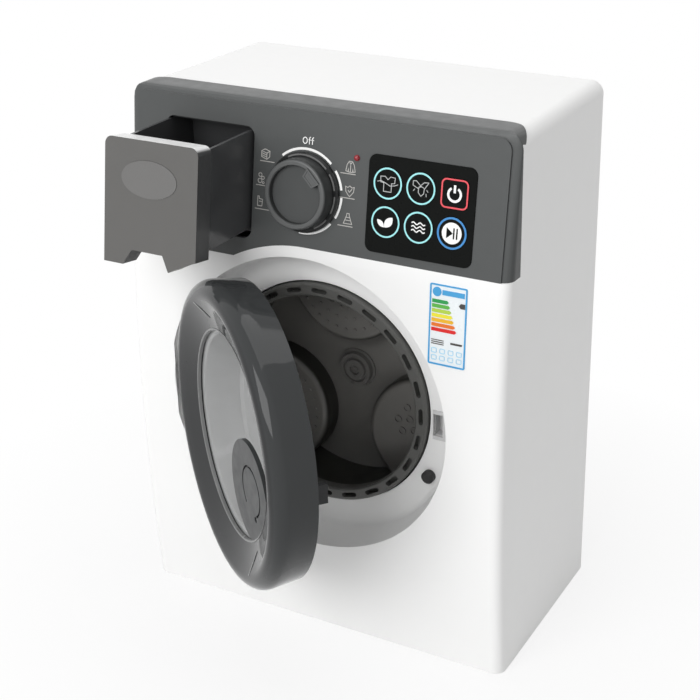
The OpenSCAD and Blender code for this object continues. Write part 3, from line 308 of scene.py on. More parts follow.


# Some plastics have painted light and shade: another colour on the faces that look one way, lighter where
# light falls on them and darker where they turn from it
WHITE = moulded("shell_white", (0.86, 0.86, 0.855), rough=0.34, vary=0.003, grain=400, bump=0.004, shine=0.35)
# The panel's faces that look right are painted darker as shade, and its faces that look up lighter as a
# painted highlight
PANEL = moulded("panel_grey", (0.078, 0.082, 0.082), rough=0.36, vary=0.03, grain=900, bump=0.015, shine=0.27,
                faces=[(RIGHT, 0.5, 0.95, (0.052, 0.055, 0.055)), (UP, 0.6, 0.95, (0.115, 0.118, 0.118))])
PLATE = moulded("plate_black", (0.0058, 0.0064, 0.0060), rough=0.28, vary=0.08, grain=700, bump=0.006,
                shine=0.06)
TRIM = moulded("trim_dark", (0.015, 0.016, 0.016), rough=0.28, vary=0.05, bump=0.012, shine=0.2)
KNOB = moulded("knob_grey", (0.060, 0.063, 0.063), rough=0.36, vary=0.04, bump=0.015, shine=0.3)
# The knob cap's and pointer's faces that look out of the panel are painted lighter than their side walls:
# painted light and shade
KNOB_EDGE = moulded("knob_edge", (0.034, 0.036, 0.036), rough=0.34, vary=0.04, bump=0.015, shine=0.35,
                    faces=[(OUT_OF_PANEL, 0.6, 0.95, (0.092, 0.095, 0.095))])
DARK = moulded("inner_dark", (0.020, 0.021, 0.022), rough=0.5, vary=0.1, bump=0.05, shine=0.3)
# The drawer front's faces that look right are painted darker as shade, and its top faces near white as a
# painted highlight
DRAWER = moulded("drawer_grey", (0.108, 0.106, 0.102), rough=0.34, vary=0.03, grain=900, bump=0.015,
                 shine=0.35,
                 faces=[(RIGHT, 0.5, 0.9, (0.050, 0.051, 0.052)), (UP, 0.5, 0.8, (0.80, 0.80, 0.80))])
TRAY = moulded("tray_dark", (0.054, 0.055, 0.057), rough=0.2, vary=0.05, bump=0.01, shine=0.55)
BADGE = moulded("badge_grey", (0.143, 0.141, 0.138), rough=0.42, vary=0.03, bump=0.02, shine=0.3)
# The door ring's faces that look out of the open door are painted darker as shade
DOOR = moulded("door_grey", (0.038, 0.040, 0.041), rough=0.06, vary=0.04, grain=300, bump=0.003, shine=0.2,
               faces=[(OUT_OF_DOOR, 0.8, 0.96, (0.021, 0.022, 0.023))])
DOOR_IN = moulded("door_inside", (0.030, 0.031, 0.032), rough=0.3, vary=0.05, bump=0.015, shine=0.3)
HANDLE = moulded("handle_grey", (0.040, 0.042, 0.043), rough=0.34, vary=0.04, bump=0.015, shine=0.15)
WINDOW = clear("window_clear", (0.61, 0.615, 0.615))
DRUM_RING = moulded("drum_ring_grey", (0.098, 0.098, 0.093), rough=0.36, vary=0.05, bump=0.02, shine=0.4)
# The drum's faces that look ahead, its back and the lifters' faces, are painted lighter as light falling in;
# the walls stay dark as painted shade
DRUM_IN = moulded("drum_grey", (0.030, 0.030, 0.026), rough=0.34, vary=0.05, bump=0.02, shine=0.45,
                  faces=[(AHEAD, 0.5, 0.95, (0.165, 0.160, 0.150))])
HUB = moulded("hub_grey", (0.150, 0.146, 0.138), rough=0.3, vary=0.05, bump=0.015, shine=0.4)
LAMP = moulded("lamp_red", (0.27, 0.010, 0.018), rough=0.14, vary=0.1, bump=0.01, coat=0.3)
RIM = moulded("rim_grey", (0.150, 0.152, 0.152), rough=0.25, vary=0.04, bump=0.01, shine=0.4)
PALE = moulded("keeper_pale", (0.62, 0.62, 0.62), rough=0.4, vary=0.02)
RUBBER = moulded("bumper_rubber", (0.038, 0.038, 0.038), rough=0.6, vary=0.1, grain=2200, bump=0.1,
                 shine=0.25)
NYLON = moulded("gear_nylon", (0.74, 0.70, 0.58), rough=0.45, vary=0.04)
BOARD = moulded("board_green", (0.014, 0.085, 0.032), rough=0.35, vary=0.12, grain=2600, bump=0.08)
CELLS = moulded("cell_wrap", (0.50, 0.17, 0.03), rough=0.25, vary=0.08)
CONE = moulded("cone_black", (0.012, 0.012, 0.012), rough=0.75, vary=0.15, grain=3000, bump=0.2)
CARRIER = moulded("carrier_pale", (0.40, 0.40, 0.39), rough=0.5, vary=0.05)
STEEL = brushed("steel", (0.62, 0.62, 0.63))
BRONZE = brushed("bronze", (0.62, 0.40, 0.16), rough=0.35)
PRINT_WHITE = ink("print_white", (0.88, 0.88, 0.87), 0.5, 0.02)
PRINT_GREY = ink("print_grey", (0.44, 0.43, 0.41), 0.5, 0.05)
PRINT_FINE = ink("print_fine", (0.52, 0.53, 0.53), 0.5, 0.05)
# A dim grey for the painted highlight on the skirt's bevel
SKIRT_HIGHLIGHT_GREY = ink("skirt_highlight_grey", (0.13, 0.13, 0.13), vary=0.05)
PRINT_CYAN = ink("print_cyan", (0.34, 0.76, 0.78))
PRINT_RED = ink("print_red", (0.76, 0.075, 0.095))
PRINT_BLUE = ink("print_blue", (0.040, 0.235, 0.56))
SHEET = moulded("sheet_white", (0.80, 0.84, 0.86), rough=0.3, vary=0.01, grain=1200, bump=0.02)
SHEET_BLUE = moulded("sheet_blue", (0.055, 0.33, 0.64), rough=0.35, vary=0.03)
SHEET_PALE = moulded("sheet_pale_blue", (0.42, 0.67, 0.83), rough=0.35, vary=0.03)
SHEET_INK = moulded("sheet_ink", (0.05, 0.045, 0.04), rough=0.45, vary=0.05)
BAR_COLOURS = [(0.02, 0.30, 0.07), (0.10, 0.42, 0.06), (0.42, 0.60, 0.06), (0.80, 0.72, 0.04),
               (0.80, 0.44, 0.02), (0.76, 0.17, 0.02), (0.68, 0.02, 0.02)]
BARS = [moulded(f"sheet_bar_{i}", colour, rough=0.35, vary=0.03) for i, colour in enumerate(BAR_COLOURS)]

NODE_LOOKS = {
    WHITE: "front_shell rear_shell battery_door",
    PANEL: "console_panel",
    PLATE: "key_plate key_shirt key_wring key_power key_leaf key_wave key_play",
    TRIM: "dial_skirt",
    KNOB: "knob_disc",
    KNOB_EDGE: "knob_cap knob_pointer",
    LAMP: "led_lens",
    DARK: "drawer_sleeve key_switches dial_switch motor_clip battery_box speaker_ring hinge_bracket "
          "latch_hook",
    BOARD: "circuit_board",
    CARRIER: "drum_carrier",
    PALE: "latch_keeper",
    BRONZE: "drum_bush",
    STEEL: "motor gear_screws battery_contacts battery_screw hinge_pin hinge_screws case_screws drum_shaft "
           "motor_shaft knob_shaft door_screws shaft_clip",
    CELLS: "batteries",
    CONE: "speaker",
    RUBBER: "door_bumper",
    SHEET: "energy_label",
    DRUM_RING: "drum_ring",
    DRUM_IN: "drum_shell drum_lifters",
    HUB: "drum_hub",
    NYLON: "drum_gear motor_pinion",
    DOOR: "door_outer_ring",
    DOOR_IN: "door_inner_ring",
    HANDLE: "handle_disc",
    WINDOW: "door_window",
    DRAWER: "drawer_front",
    TRAY: "drawer_tray",
    BADGE: "drawer_badge",
}


def dress_nodes():
    """Gives each CAD node its material."""
    for material, names in NODE_LOOKS.items():
        for name in names.split():
            slots = nodes[name].material_slots
            if not slots:
                nodes[name].data.materials.append(material)
            for slot in slots:
                slot.material = material


# ---- places on the object ----

def on_panel(x, v, out):
    """A point on the sloping panel face: across, up the face and out of it."""
    return Vector((x, FACE_Y + v * math.sin(LEAN) - out * math.cos(LEAN),
                   FLAT_Z + v * math.cos(LEAN) + out * math.sin(LEAN))) * MM


def on_front(x, z, out):
    """A point on the bowed front of the cabinet."""
    return Vector((x, BOW_Y + (z - BOW_Z) ** 2 / (2 * BOW_R) - out, z)) * MM


# ---- shapes ----

def arc(x, y, radius, start, end, steps=24):
    """Points of an arc; angles in degrees, clockwise from up."""
    angles = [math.radians(start + (end - start) * i / steps) for i in range(steps + 1)]
    return [(x + radius * math.sin(a), y + radius * math.cos(a)) for a in angles]


def rounded_box(x, y, width, height, radius, steps=6):
    """The outline of a box with round corners, about its middle."""
    points = []
    for sx, sy, start in ((1, 1, 0), (1, -1, 90), (-1, -1, 180), (-1, 1, 270)):
        middle = (x + sx * (width / 2 - radius), y + sy * (height / 2 - radius))
        points += arc(*middle, radius, start, start + 90, steps)
    return points


def ribbon(bm, place, points, width, low, high, closed=False):
    """A flat strip along points on a surface, from one height over it to another."""
    count = len(points)
    rows = []
    for i, point in enumerate(points):
        here = Vector(point)
        before = Vector(points[i - 1]) if closed or i else None
        after = Vector(points[(i + 1) % count]) if closed or i < count - 1 else None
        into = (here - before).normalized() if before is not None else (after - here).normalized()
        away = (after - here).normalized() if after is not None else into
        across = Vector((-(into.y + away.y), into.x + away.x))
        across.normalize()
        lean = max(0.5, across.dot(Vector((-into.y, into.x))))
        offset = across * (width / 2 / lean)
        left, right = here + offset, here - offset
        rows.append([bm.verts.new(place(p.x, p.y, h))
                     for p, h in ((left, low), (right, low), (right, high), (left, high))])
    following = rows[1:] + rows[:1] if closed else rows[1:]
    for a, b in zip(rows, following):
        for k in range(4):
            bm.faces.new((a[k], a[(k + 1) % 4], b[(k + 1) % 4], b[k]))
    if not closed:
        bm.faces.new(rows[0])
        bm.faces.new(rows[-1][::-1])


def patch(bm, place, outline, low, high):
    """A filled outline on a surface, from one height over it to another."""
    base = [bm.verts.new(place(*p, low)) for p in outline]
    top = [bm.verts.new(place(*p, high)) for p in outline]
    bm.faces.new(base)
    bm.faces.new(top[::-1])
    for i in range(len(outline)):
        k = (i + 1) % len(outline)
        bm.faces.new((base[i], base[k], top[k], top[i]))


def lathe(bm, profile, x, z, steps=96):
    """A closed profile of (radius, y) turned about an axis along Y."""
    rings = []
    for i in range(steps):
        a = 2 * math.pi * i / steps
        rings.append([bm.verts.new(Vector((x + r * math.sin(a), y, z + r * math.cos(a))) * MM)
                      for r, y in profile])
    for a, b in zip(rings, rings[1:] + rings[:1]):
        for k in range(len(profile)):
            n = (k + 1) % len(profile)
            bm.faces.new((a[k], b[k], b[n], a[n]))


def piece(name, bm, material, body, turn=None):
    """Turns a bmesh into a named piece that rides on a body, after a turn from where it was built."""
    bmesh.ops.recalc_face_normals(bm, faces=bm.faces)
    mesh = bpy.data.meshes.new(name)
    bm.to_mesh(mesh)
    bm.free()
    mesh.materials.append(material)
    mesh.shade_smooth()
    mesh.set_sharp_from_angle(angle=PIECE_SMOOTH)
    thing = bpy.data.objects.new(name, mesh)
    bpy.context.scene.collection.objects.link(thing)
    if turn is not None:
        mesh.transform(turn)
    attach(thing, body)


def soft_shading():
    """Shades every CAD node smoothly across its shallow edges, on welded vertices."""
    tree = bpy.data.node_groups.new("soft_shading", "GeometryNodeTree")
    tree.interface.new_socket("Geometry", in_out="INPUT", socket_type="NodeSocketGeometry")
    tree.interface.new_socket("Geometry", in_out="OUTPUT", socket_type="NodeSocketGeometry")
    start = tree.nodes.new("NodeGroupInput")
    end = tree.nodes.new("NodeGroupOutput")
    weld = tree.nodes.new("GeometryNodeMergeByDistance")
    weld.inputs["Distance"].default_value = WELD * MM
    angle = tree.nodes.new("GeometryNodeInputMeshEdgeAngle")
    sharp = tree.nodes.new("FunctionNodeCompare")
    sharp.operation = "GREATER_THAN"
    sharp.inputs[1].default_value = NODE_SMOOTH
    faces = tree.nodes.new("GeometryNodeSetShadeSmooth")
    edges = tree.nodes.new("GeometryNodeSetShadeSmooth")
    edges.domain = "EDGE"
    edges.inputs["Shade Smooth"].default_value = False
    tree.links.new(start.outputs[0], weld.inputs[0])
    tree.links.new(weld.outputs[0], faces.inputs[0])
    tree.links.new(faces.outputs[0], edges.inputs[0])
    tree.links.new(angle.outputs["Unsigned Angle"], sharp.inputs[0])
    tree.links.new(sharp.outputs[0], edges.inputs["Selection"])
    tree.links.new(edges.outputs[0], end.inputs[0])
    for node in nodes.values():
        node.modifiers.new("soft_shading", "NODES").node_group = tree
        weighted = node.modifiers.new("weighted", "WEIGHTED_NORMAL")
        weighted.keep_sharp = True


# ---- prints on the panel ----

# Line drawings in a box of about 2 by 2; each stroke is (points, closed)
ICON_BASKET = [([(-0.8, 0.5), (-0.1, 0.9), (0.9, 0.6), (0.3, 0.2)], True),
               ([(-0.8, 0.5), (-0.8, -0.5), (0.3, -0.9), (0.9, -0.4), (0.9, 0.6)], False),
               ([(0.3, 0.2), (0.3, -0.9)], False), ([(-0.8, 0.15), (0.3, -0.15)], False),
               ([(-0.8, -0.2), (0.3, -0.5)], False)]
ICON_BUBBLES = [(arc(-0.2, 0.6, 0.34, 0, 345, 12), False), (arc(0.35, 0.1, 0.28, 0, 345, 12), False),
                (arc(-0.25, -0.45, 0.40, 0, 345, 12), False), (arc(0.45, -0.75, 0.18, 0, 345, 10), False)]
ICON_TUB = [([(-0.5, 1), (-0.2, 1), (-0.2, 0.6), (0.5, 0.5), (0.4, -0.7), (-0.5, -0.7)], True),
            ([(-0.2, 0.1), (0.45, 0.1)], False)]
ICON_JACKET = [([(-0.3, 0.9), (-0.7, 0.3), (-0.9, -0.8), (-0.5, -0.9), (-0.4, -0.3), (-0.35, -0.95),
                 (0.4, -0.95), (0.45, -0.3), (0.55, -0.9), (0.95, -0.8), (0.7, 0.3), (0.35, 0.9)], True),
               ([(0, 0.6), (0, -0.9)], False), ([(-0.3, 0.9), (0, 0.4), (0.35, 0.9)], False)]
ICON_SHIELD = [([(-0.85, 0.75), (-0.4, 0.6), (0, 0.9), (0.4, 0.6), (0.85, 0.75), (0.75, -0.1), (0.35, -0.6),
                 (0, -0.95), (-0.35, -0.6), (-0.75, -0.1)], True),
               ([(-0.35, 0.15), (-0.05, -0.2), (0.45, 0.4)], False)]
ICON_DRESS = [([(-0.2, 1), (-0.25, 0.6), (-0.8, -0.8), (0.85, -0.8), (0.3, 0.6), (0.25, 1)], True),
              ([(-0.45, -0.2), (0.5, -0.2)], False), ([(-0.3, 0.3), (0.35, 0.3)], False)]
DIAL_ICONS = [((-26.2, 48.3), ICON_BASKET), ((-28.1, 36.1), ICON_BUBBLES), ((-28.3, 24.2), ICON_TUB),
              ((21.9, 48.5), ICON_JACKET), ((22.1, 36.7), ICON_SHIELD), ((21.8, 23), ICON_DRESS)]


def draw(bm, place, strokes, x, v, size, width, low=0.0, high=PRINT):
    """A line drawing at a place on a surface."""
    for points, closed in strokes:
        ribbon(bm, place, [(x + px * size, v + pv * size) for px, pv in points], width, low, high, closed)


def off_word(bm):
    """The generic word Off over the dial, in plain strokes."""
    x, v = WORD
    ring = [(x + px * 0.78, pv) for px, pv in arc(0, v, 1.5, 0, 360, 20)[:-1]]
    ribbon(bm, on_panel, ring, 0.42, 0, PRINT, True)
    for stem in (x + 2.4, x + 4.1):
        hook = arc(stem + 0.75, v + 1.05, 0.75, -90, 0, 5)[::-1]
        ribbon(bm, on_panel, hook + [(stem, v - 1.7)], 0.4, 0, PRINT)
        ribbon(bm, on_panel, [(stem - 0.6, v + 0.45), (stem + 0.8, v + 0.45)], 0.34, 0, PRINT)


def dial_marks():
    """The scale around the dial, the word over it, the drawings with their lines, and a painted highlight on
    the skirt.
    """
    x, v = DIAL
    bm = bmesh.new()
    for start, end in SCALE_ARCS:
        ribbon(bm, on_panel, arc(x, v + SCALE_UP, SCALE_R, start, end), SCALE_W, 0, PRINT)
    off_word(bm)
    piece("dial_scale", bm, PRINT_WHITE, "body")
    bm = bmesh.new()
    for (ix, iv), strokes in DIAL_ICONS:
        draw(bm, on_panel, strokes, ix, iv, ICON_HALF, ICON_LINE)
        inward = 1 if ix < 0 else -1
        underline = [(ix - inward * UNDERLINE_OUT, iv - UNDERLINE_DROP),
                     (ix + inward * UNDERLINE_IN, iv - UNDERLINE_DROP)]
        ribbon(bm, on_panel, underline, UNDERLINE_W, 0, PRINT)
    piece("dial_drawings", bm, PRINT_GREY, "body")
    bm = bmesh.new()
    # A painted highlight on the skirt's bevel, in arcs broken like the scale's
    for start, end in SKIRT_HIGHLIGHT_ARCS:
        line = arc(x, v + SKIRT_HIGHLIGHT_UP, SKIRT_HIGHLIGHT_R, start, end)
        ribbon(bm, on_panel, line, SKIRT_HIGHLIGHT_W, SKIRT_T, SKIRT_T + PRINT)
    piece("skirt_highlight", bm, SKIRT_HIGHLIGHT_GREY, "body")


def pointer_lines():
    """The raised frame and the window line of the knob's pointer."""
    def at_pointer(x, v, out):
        across, up = math.cos(KNOB_REST), math.sin(KNOB_REST)
        return on_panel(DIAL[0] + x * across + v * up, DIAL[1] - x * up + v * across, out)

    frame_line = [(-3.3, 10.6), (3.3, 10.6), (4.35, 14.5), (-4.35, 14.5)]
    window_line = [(-2.1, 11.9), (2.1, 11.9), (2.5, 13.3), (-2.5, 13.3)]
    bm = bmesh.new()
    ribbon(bm, at_pointer, frame_line, 0.8, POINTER_FACE - 0.1, POINTER_FACE + 0.25, True)
    piece("pointer_frame", bm, KNOB_EDGE, "knob")
    bm = bmesh.new()
    ribbon(bm, at_pointer, window_line, 0.35, POINTER_FACE - 0.05, POINTER_FACE + PRINT, True)
    piece("pointer_line", bm, KNOB_EDGE, "knob")


# ---- prints on the keys ----

KEY_PLACES = {name: (KEYS[0] + col * KEY_STEP[0], KEYS[1] + row * KEY_STEP[1] / 2)
              for name, col, row in (("key_shirt", -1, 1), ("key_wring", 0, 1), ("key_power", 1, 1),
                                     ("key_leaf", -1, -1), ("key_wave", 0, -1), ("key_play", 1, -1))}
SHIRT = [([(-0.95, 0.75), (-0.35, 0.8), (0, 0.45), (0.35, 0.8), (0.95, 0.75), (0.9, 0.1), (0.5, 0.05),
           (0.5, -0.95), (-0.5, -0.95), (-0.5, 0.05), (-0.9, 0.1)], True),
         ([(-1.35, 0.1), (-0.9, 0.25), (-0.3, 0.05), (0.3, -0.25), (0.9, -0.15), (1.35, 0.05)], False)]
WRUNG = [([(-1, 0.75), (-0.6, 0.8), (0, 0.25), (-0.35, -0.05), (-1, 0.25)], True),
         ([(1, 0.75), (0.4, 0.7), (-0.25, 0.1), (-0.3, -0.5), (0.05, -0.9), (0.4, -0.6), (0.45, -0.05),
           (1, 0.75)], False),
         ([(-0.3, 0.05), (0.1, 0.2), (0.4, 0.05)], False), ([(-0.75, -0.15), (-0.95, -0.4)], False),
         ([(0.75, -0.1), (0.95, -0.35)], False), ([(0.7, -0.55), (0.75, -0.9)], False)]


def leaf_outline(x, v, length, width, lean):
    """A pointed leaf from its foot, leaning clockwise by some degrees."""
    a = math.radians(lean)
    points = []
    for side in (1, -1):
        for i in range(9):
            t = i / 9 if side == 1 else 1 - i / 9
            across = side * width * math.sin(math.pi * t) ** 0.8
            along = length * t
            points.append((x + along * math.sin(a) + across * math.cos(a),
                           v + along * math.cos(a) - across * math.sin(a)))
    return points


def key_ring(name, x, v):
    """A cyan ring, the power key's red frame or the play key's wider blue ring."""
    line = arc(x, v, KEY_RING_R, 0, 360, 72)[:-1]
    width, colour, slot = 0.8, PRINT_CYAN, "key_black"
    if name == "key_power":
        line = rounded_box(x, v, KEY_FRAME, KEY_FRAME, KEY_FRAME_CORNER)
        width, colour, slot = 0.75, PRINT_RED, "key_red"
    elif name == "key_play":
        width, colour, slot = 0.95, PRINT_BLUE, "key_blue"
    bm = bmesh.new()
    ribbon(bm, on_panel, line, width, KEY_TOP, KEY_TOP + PRINT, True)
    piece(name + "_ring", bm, colour, name)
    return slot


def key_drawing(name, x, v):
    """A shirt, a wrung cloth, two leaves, waves, the power sign or the play key's white disc."""
    low, high = KEY_TOP, KEY_TOP + PRINT
    colour = PRINT_WHITE
    bm = bmesh.new()
    if name == "key_shirt":
        draw(bm, on_panel, SHIRT, x, v, KEY_ICON_HALF, KEY_LINE, low, high)
        colour = PRINT_FINE
    elif name == "key_wring":
        draw(bm, on_panel, WRUNG, x, v + 0.2, KEY_ICON_HALF, KEY_LINE, low, high)
        colour = PRINT_FINE
    elif name == "key_leaf":
        patch(bm, on_panel, leaf_outline(x - 0.6, v - 2.6, 5.2, 1.25, -48), low, high)
        patch(bm, on_panel, leaf_outline(x - 0.4, v - 2.6, 6.6, 1.9, 38), low, high)
    elif name == "key_wave":
        for up in (1.9, 0.1, -1.7):
            wave = [(x - 3.6 + i * 0.45, v + up + 0.55 * math.sin(i * 0.78)) for i in range(17)]
            ribbon(bm, on_panel, wave, 0.55, low, high)
    elif name == "key_power":
        ribbon(bm, on_panel, arc(x, v - 0.3, 3.2, 32, 328, 40), 1.15, low, high)
        ribbon(bm, on_panel, [(x, v + 0.4), (x, v + 4.1)], 1.15, low, high)
    else:
        patch(bm, on_panel, arc(x, v, KEY_DISC_R, 0, 360, 48)[:-1], low, high)
    piece(name + "_drawing", bm, colour, name)


def play_sign():
    """The dark play and pause sign on the white disc of the play key."""
    x, v = KEY_PLACES["key_play"]
    low, high = KEY_TOP + PRINT, KEY_TOP + 2 * PRINT
    bm = bmesh.new()
    patch(bm, on_panel, [(x - 2.7, v + 2.6), (x + 0.6, v), (x - 2.7, v - 2.6)], low, high)
    for bar in (1.1, 2.7):
        ribbon(bm, on_panel, [(x + bar, v + 2.6), (x + bar, v - 2.6)], 0.75, low, high)
    piece("key_play_sign", bm, PLATE, "key_play")


def key_prints():
    """The prints on all six keys."""
    for name, (x, v) in KEY_PLACES.items():
        slot = key_ring(name, x, v)
        key_drawing(name, x, v)
    play_sign()


# ---- small forms of the door, the latch and the drum ----

def before_lifters(x, z, out):
    """A point at a distance ahead of the plane of the lifters' faces."""
    return Vector((x, LIFTER_FACE_Y - out, z)) * MM


def door_details():
    """The pale rim round the window and the two small ribs in the door's funnel, the ribs pale grey as a
    painted highlight.
    """
    hinge = Vector((*HINGE, 0)) * MM
    rest = Matrix.Translation(hinge) @ Matrix.Rotation(-DOOR_REST, 4, "Z") @ Matrix.Translation(-hinge)

    def on_funnel(angle, depth, out):
        a = math.radians(angle)
        r = CREST_R + (FUNNEL_R - CREST_R) * depth
        return Vector((DRUM_MIDDLE[0] + r * math.sin(a), CREST_Y + FUNNEL_D * depth - out,
                       DRUM_MIDDLE[1] + r * math.cos(a))) * MM

    bm = bmesh.new()
    lathe(bm, RIM_PROFILE, *DRUM_MIDDLE)
    piece("window_rim", bm, RIM, "door", rest)
    bm = bmesh.new()
    # The ribs take the rim's pale grey as a painted highlight along the funnel's small steps
    for start, end, width in RIBS:
        outline = [start, (start[0] + width, start[1]), (end[0] + width, end[1]), end]
        patch(bm, on_funnel, outline, RIB_FOOT, RIB_TOP)
    piece("funnel_ribs", bm, RIM, "door", rest)


def keeper_pocket():
    """The pale walls behind the latch's slot."""
    left, right, foot, head = POCKET
    back = rounded_box((left + right) / 2, (foot + head) / 2, right - left, head - foot, 0.6, 3)
    side = [(left, foot), (left + POCKET_SIDE, foot), (left + POCKET_SIDE, head), (left, head)]
    floor = [(left, foot), (right, foot), (right, foot + POCKET_WALL), (left, foot + POCKET_WALL)]
    bm = bmesh.new()
    patch(bm, before_lifters, back, POCKET_BACK, POCKET_BACK + POCKET_WALL)
    patch(bm, before_lifters, side, POCKET_BACK, POCKET_FRONT)
    patch(bm, before_lifters, floor, POCKET_BACK, POCKET_FRONT)
    piece("keeper_pocket", bm, PALE, "body")


def dome(bm, place, x, z, radius, height, steps=14):
    """A low round bump."""
    rows = [[bm.verts.new(place(px, pz, out)) for px, pz in arc(x, z, r, 0, 360, steps)[:-1]]
            for r, out in ((radius, BUMP_FOOT), (radius * 0.92, height * 0.55), (radius * 0.5, height))]
    for a, b in zip(rows, rows[1:]):
        for k in range(steps):
            n = (k + 1) % steps
            bm.faces.new((a[k], a[n], b[n], b[k]))
    bm.faces.new(rows[0][::-1])
    bm.faces.new(rows[-1])


def lifter_bumps():
    """Small moulded bumps on two lifters and five rings on the third."""
    bm = bmesh.new()
    for turn in BUMP_TURNS:
        a = math.radians(turn)
        x = DRUM_MIDDLE[0] + LIFTER_MIDDLE_R * math.sin(a)
        z = DRUM_MIDDLE[1] + LIFTER_MIDDLE_R * math.cos(a)
        for radius, count in BUMP_ROWS:
            for px, pz in arc(x, z, radius, 0, 360, count)[:-1]:
                if math.hypot(px - DRUM_MIDDLE[0], pz - DRUM_MIDDLE[1]) < BUMPS_R:
                    dome(bm, before_lifters, px, pz, BUMP_R, BUMP_H)
    piece("lifter_dimples", bm, DRUM_IN, "drum")
    bm = bmesh.new()
    for px, pz in RING_PLACES:
        ring = arc(px, pz, RING_R, 0, 360, 20)[:-1]
        ribbon(bm, before_lifters, ring, RING_W, BUMP_FOOT, RING_H, True)
    piece("lifter_rings", bm, DRUM_IN, "drum")


# ---- energy sheet ----

def energy_sheet():
    """A generic energy sheet: blue frame, bars from green to red and plain lines."""
    x, z = SHEET_MIDDLE
    width, height = SHEET_SIZE

    def line(bm, points, thick, closed=False):
        ribbon(bm, on_front, points, thick, SHEET_LOW, SHEET_HIGH, closed)

    def fill(bm, outline):
        patch(bm, on_front, outline, SHEET_LOW, SHEET_HIGH)

    bm = bmesh.new()
    line(bm, rounded_box(x, z, width - 0.8, height - 0.8, 0.5, 2), 0.8, True)
    fill(bm, [(x - 3.2, z + 17.6), (x + 8.4, z + 17.6), (x + 8.4, z + 15.2), (x - 3.2, z + 15.2)])
    fill(bm, arc(x - 6, z + 16.4, 2.3, 0, 360, 24)[:-1])
    piece("sheet_frame", bm, SHEET_BLUE, "body")
    for i, colour in enumerate(BARS):
        top = z + 12.6 - i * BAR_STEP
        left, right = x - 8.4, x - 0.6 + i * BAR_GROWTH
        tip = (right + BAR_TIP, top - BAR_H / 2)
        bm = bmesh.new()
        fill(bm, [(left, top), (right, top), tip, (right, top - BAR_H), (left, top - BAR_H)])
        piece(f"sheet_bar_{i}", bm, colour, "body")
    bm = bmesh.new()
    fill(bm, [(x + 5.6, z + 11.2), (x + 6.6, z + 12.4), (x + 8.8, z + 12.4), (x + 8.8, z + 10),
              (x + 6.6, z + 10)])
    for row in (-7.6, -8.6, -9.6):
        line(bm, [(x - 8.2, z + row), (x - 1.6, z + row)], 0.35)
    line(bm, [(x + 2, z - 8.2), (x + 8, z - 8.2)], 0.9)
    piece("sheet_lines", bm, SHEET_INK, "body")
    bm = bmesh.new()
    for row in (-13, -16.6):
        for col in range(4):
            line(bm, rounded_box(x - 6.6 + col * 4.4, z + row, 2.6, 2.2, 0.5, 3), 0.35, True)
    piece("sheet_boxes", bm, SHEET_PALE, "body")


# ---- camera, light and floor ----

def photo_camera():
    """A camera at the photograph's viewing angle."""
    az, el, roll = (math.radians(a) for a in CAMERA_ANGLES)
    back = Vector((math.sin(az) * math.cos(el), -math.cos(az) * math.cos(el), math.sin(el)))
    level = Vector((math.cos(az), math.sin(az), 0))
    rise = back.cross(level)
    right = level * math.cos(roll) + rise * math.sin(roll)
    up = rise * math.cos(roll) - level * math.sin(roll)
    data = bpy.data.cameras.new("camera")
    data.lens = CAMERA_LENS
    data.sensor_width = CAMERA_SENSOR
    data.clip_start = 0.01
    camera = bpy.data.objects.new("camera", data)
    turn = Matrix((right, up, back)).transposed().to_4x4()
    camera.matrix_world = Matrix.Translation(Vector(CAMERA_PLACE) * MM) @ turn
    bpy.context.scene.collection.objects.link(camera)
    bpy.context.scene.camera = camera


def softbox(name, place, target, width, height, power):
    """A rectangular lamp that faces a target; metres and watts."""
    data = bpy.data.lights.new(name, "AREA")
    data.shape = "RECTANGLE"
    data.size = width
    data.size_y = height
    data.energy = power
    lamp = bpy.data.objects.new(name, data)
    lamp.location = place
    lamp.rotation_euler = (Vector(target) - Vector(place)).to_track_quat("-Z", "Y").to_euler()
    bpy.context.scene.collection.objects.link(lamp)


def seen_directly(tree):
    """One for camera, glossy and transmission rays, nothing for the light that falls on the object."""
    path = tree.nodes.new("ShaderNodeLightPath")
    seen = path.outputs["Is Camera Ray"]
    for ray in ("Is Glossy Ray", "Is Transmission Ray"):
        either = tree.nodes.new("ShaderNodeMath")
        either.operation = "MAXIMUM"
        tree.links.new(seen, either.inputs[0])
        tree.links.new(path.outputs[ray], either.inputs[1])
        seen = either.outputs[0]
    return seen


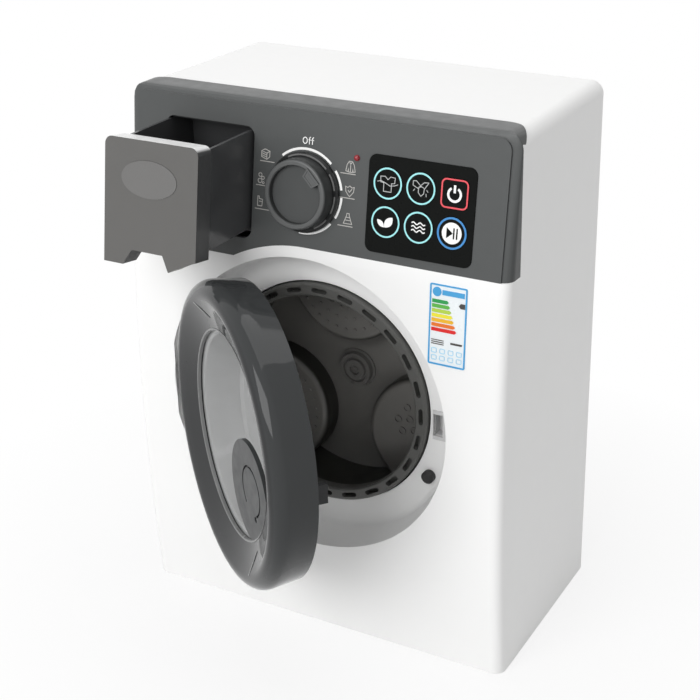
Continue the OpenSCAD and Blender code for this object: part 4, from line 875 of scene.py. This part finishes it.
def white_world():
    """Surroundings that look white and give a weaker light."""
    world = bpy.data.worlds.new("studio")
    bpy.context.scene.world = world
    world.use_nodes = True
    tree = world.node_tree
    light = tree.nodes["Background"]
    light.inputs["Color"].default_value = (1, 1, 1, 1)
    light.inputs["Strength"].default_value = FILL_LIGHT
    seen = tree.nodes.new("ShaderNodeBackground")
    seen.inputs["Color"].default_value = (1, 1, 1, 1)
    seen.inputs["Strength"].default_value = 1.0
    mix = tree.nodes.new("ShaderNodeMixShader")
    tree.links.new(seen_directly(tree), mix.inputs["Fac"])
    tree.links.new(light.outputs[0], mix.inputs[1])
    tree.links.new(seen.outputs[0], mix.inputs[2])
    tree.links.new(mix.outputs[0], tree.nodes["World Output"].inputs["Surface"])


def pale_floor():
    """A pale floor that fades to white away from the object."""
    bpy.ops.mesh.primitive_plane_add(size=FLOOR_SIZE, location=(0, 0, cad_box[0][2] - FLOOR_GAP))
    floor = bpy.context.object
    floor.name = "floor"
    material, tree, shader, where = node_tree("floor_pale")
    shader.inputs["Base Color"].default_value = (0.86, 0.86, 0.86, 1)
    shader.inputs["Roughness"].default_value = 0.8
    shader.inputs["Specular IOR Level"].default_value = 0.1
    white = tree.nodes.new("ShaderNodeEmission")
    away = tree.nodes.new("ShaderNodeVectorMath")
    away.operation = "LENGTH"
    fade = tree.nodes.new("ShaderNodeMapRange")
    fade.inputs["From Min"].default_value = FADE_START
    fade.inputs["From Max"].default_value = FADE_END
    fade.inputs["To Min"].default_value = WHITE_SHARE
    share = tree.nodes.new("ShaderNodeMath")
    share.operation = "MULTIPLY"
    mix = tree.nodes.new("ShaderNodeMixShader")
    tree.links.new(where, away.inputs[0])
    tree.links.new(away.outputs["Value"], fade.inputs["Value"])
    tree.links.new(seen_directly(tree), share.inputs[0])
    tree.links.new(fade.outputs["Result"], share.inputs[1])
    tree.links.new(share.outputs[0], mix.inputs["Fac"])
    tree.links.new(shader.outputs[0], mix.inputs[1])
    tree.links.new(white.outputs[0], mix.inputs[2])
    tree.links.new(mix.outputs[0], tree.nodes["Material Output"].inputs["Surface"])
    floor.data.materials.append(material)


def studio():
    """White surroundings, a pale floor and two soft lamps."""
    white_world()
    pale_floor()
    softbox("key", (-0.22, -1.5, 0.95), (0, -0.05, 0.12), width=1.2, height=0.9, power=18.8)
    softbox("top", (0.05, 0.1, 1.6), (0, 0, 0.2), width=1.2, height=1.2, power=8.5)
    bpy.context.scene.view_settings.view_transform = "Standard"


photo_camera()
studio()
dress_nodes()
soft_shading()
dial_marks()
pointer_lines()
key_prints()
lifter_bumps()
keeper_pocket()
door_details()
energy_sheet()
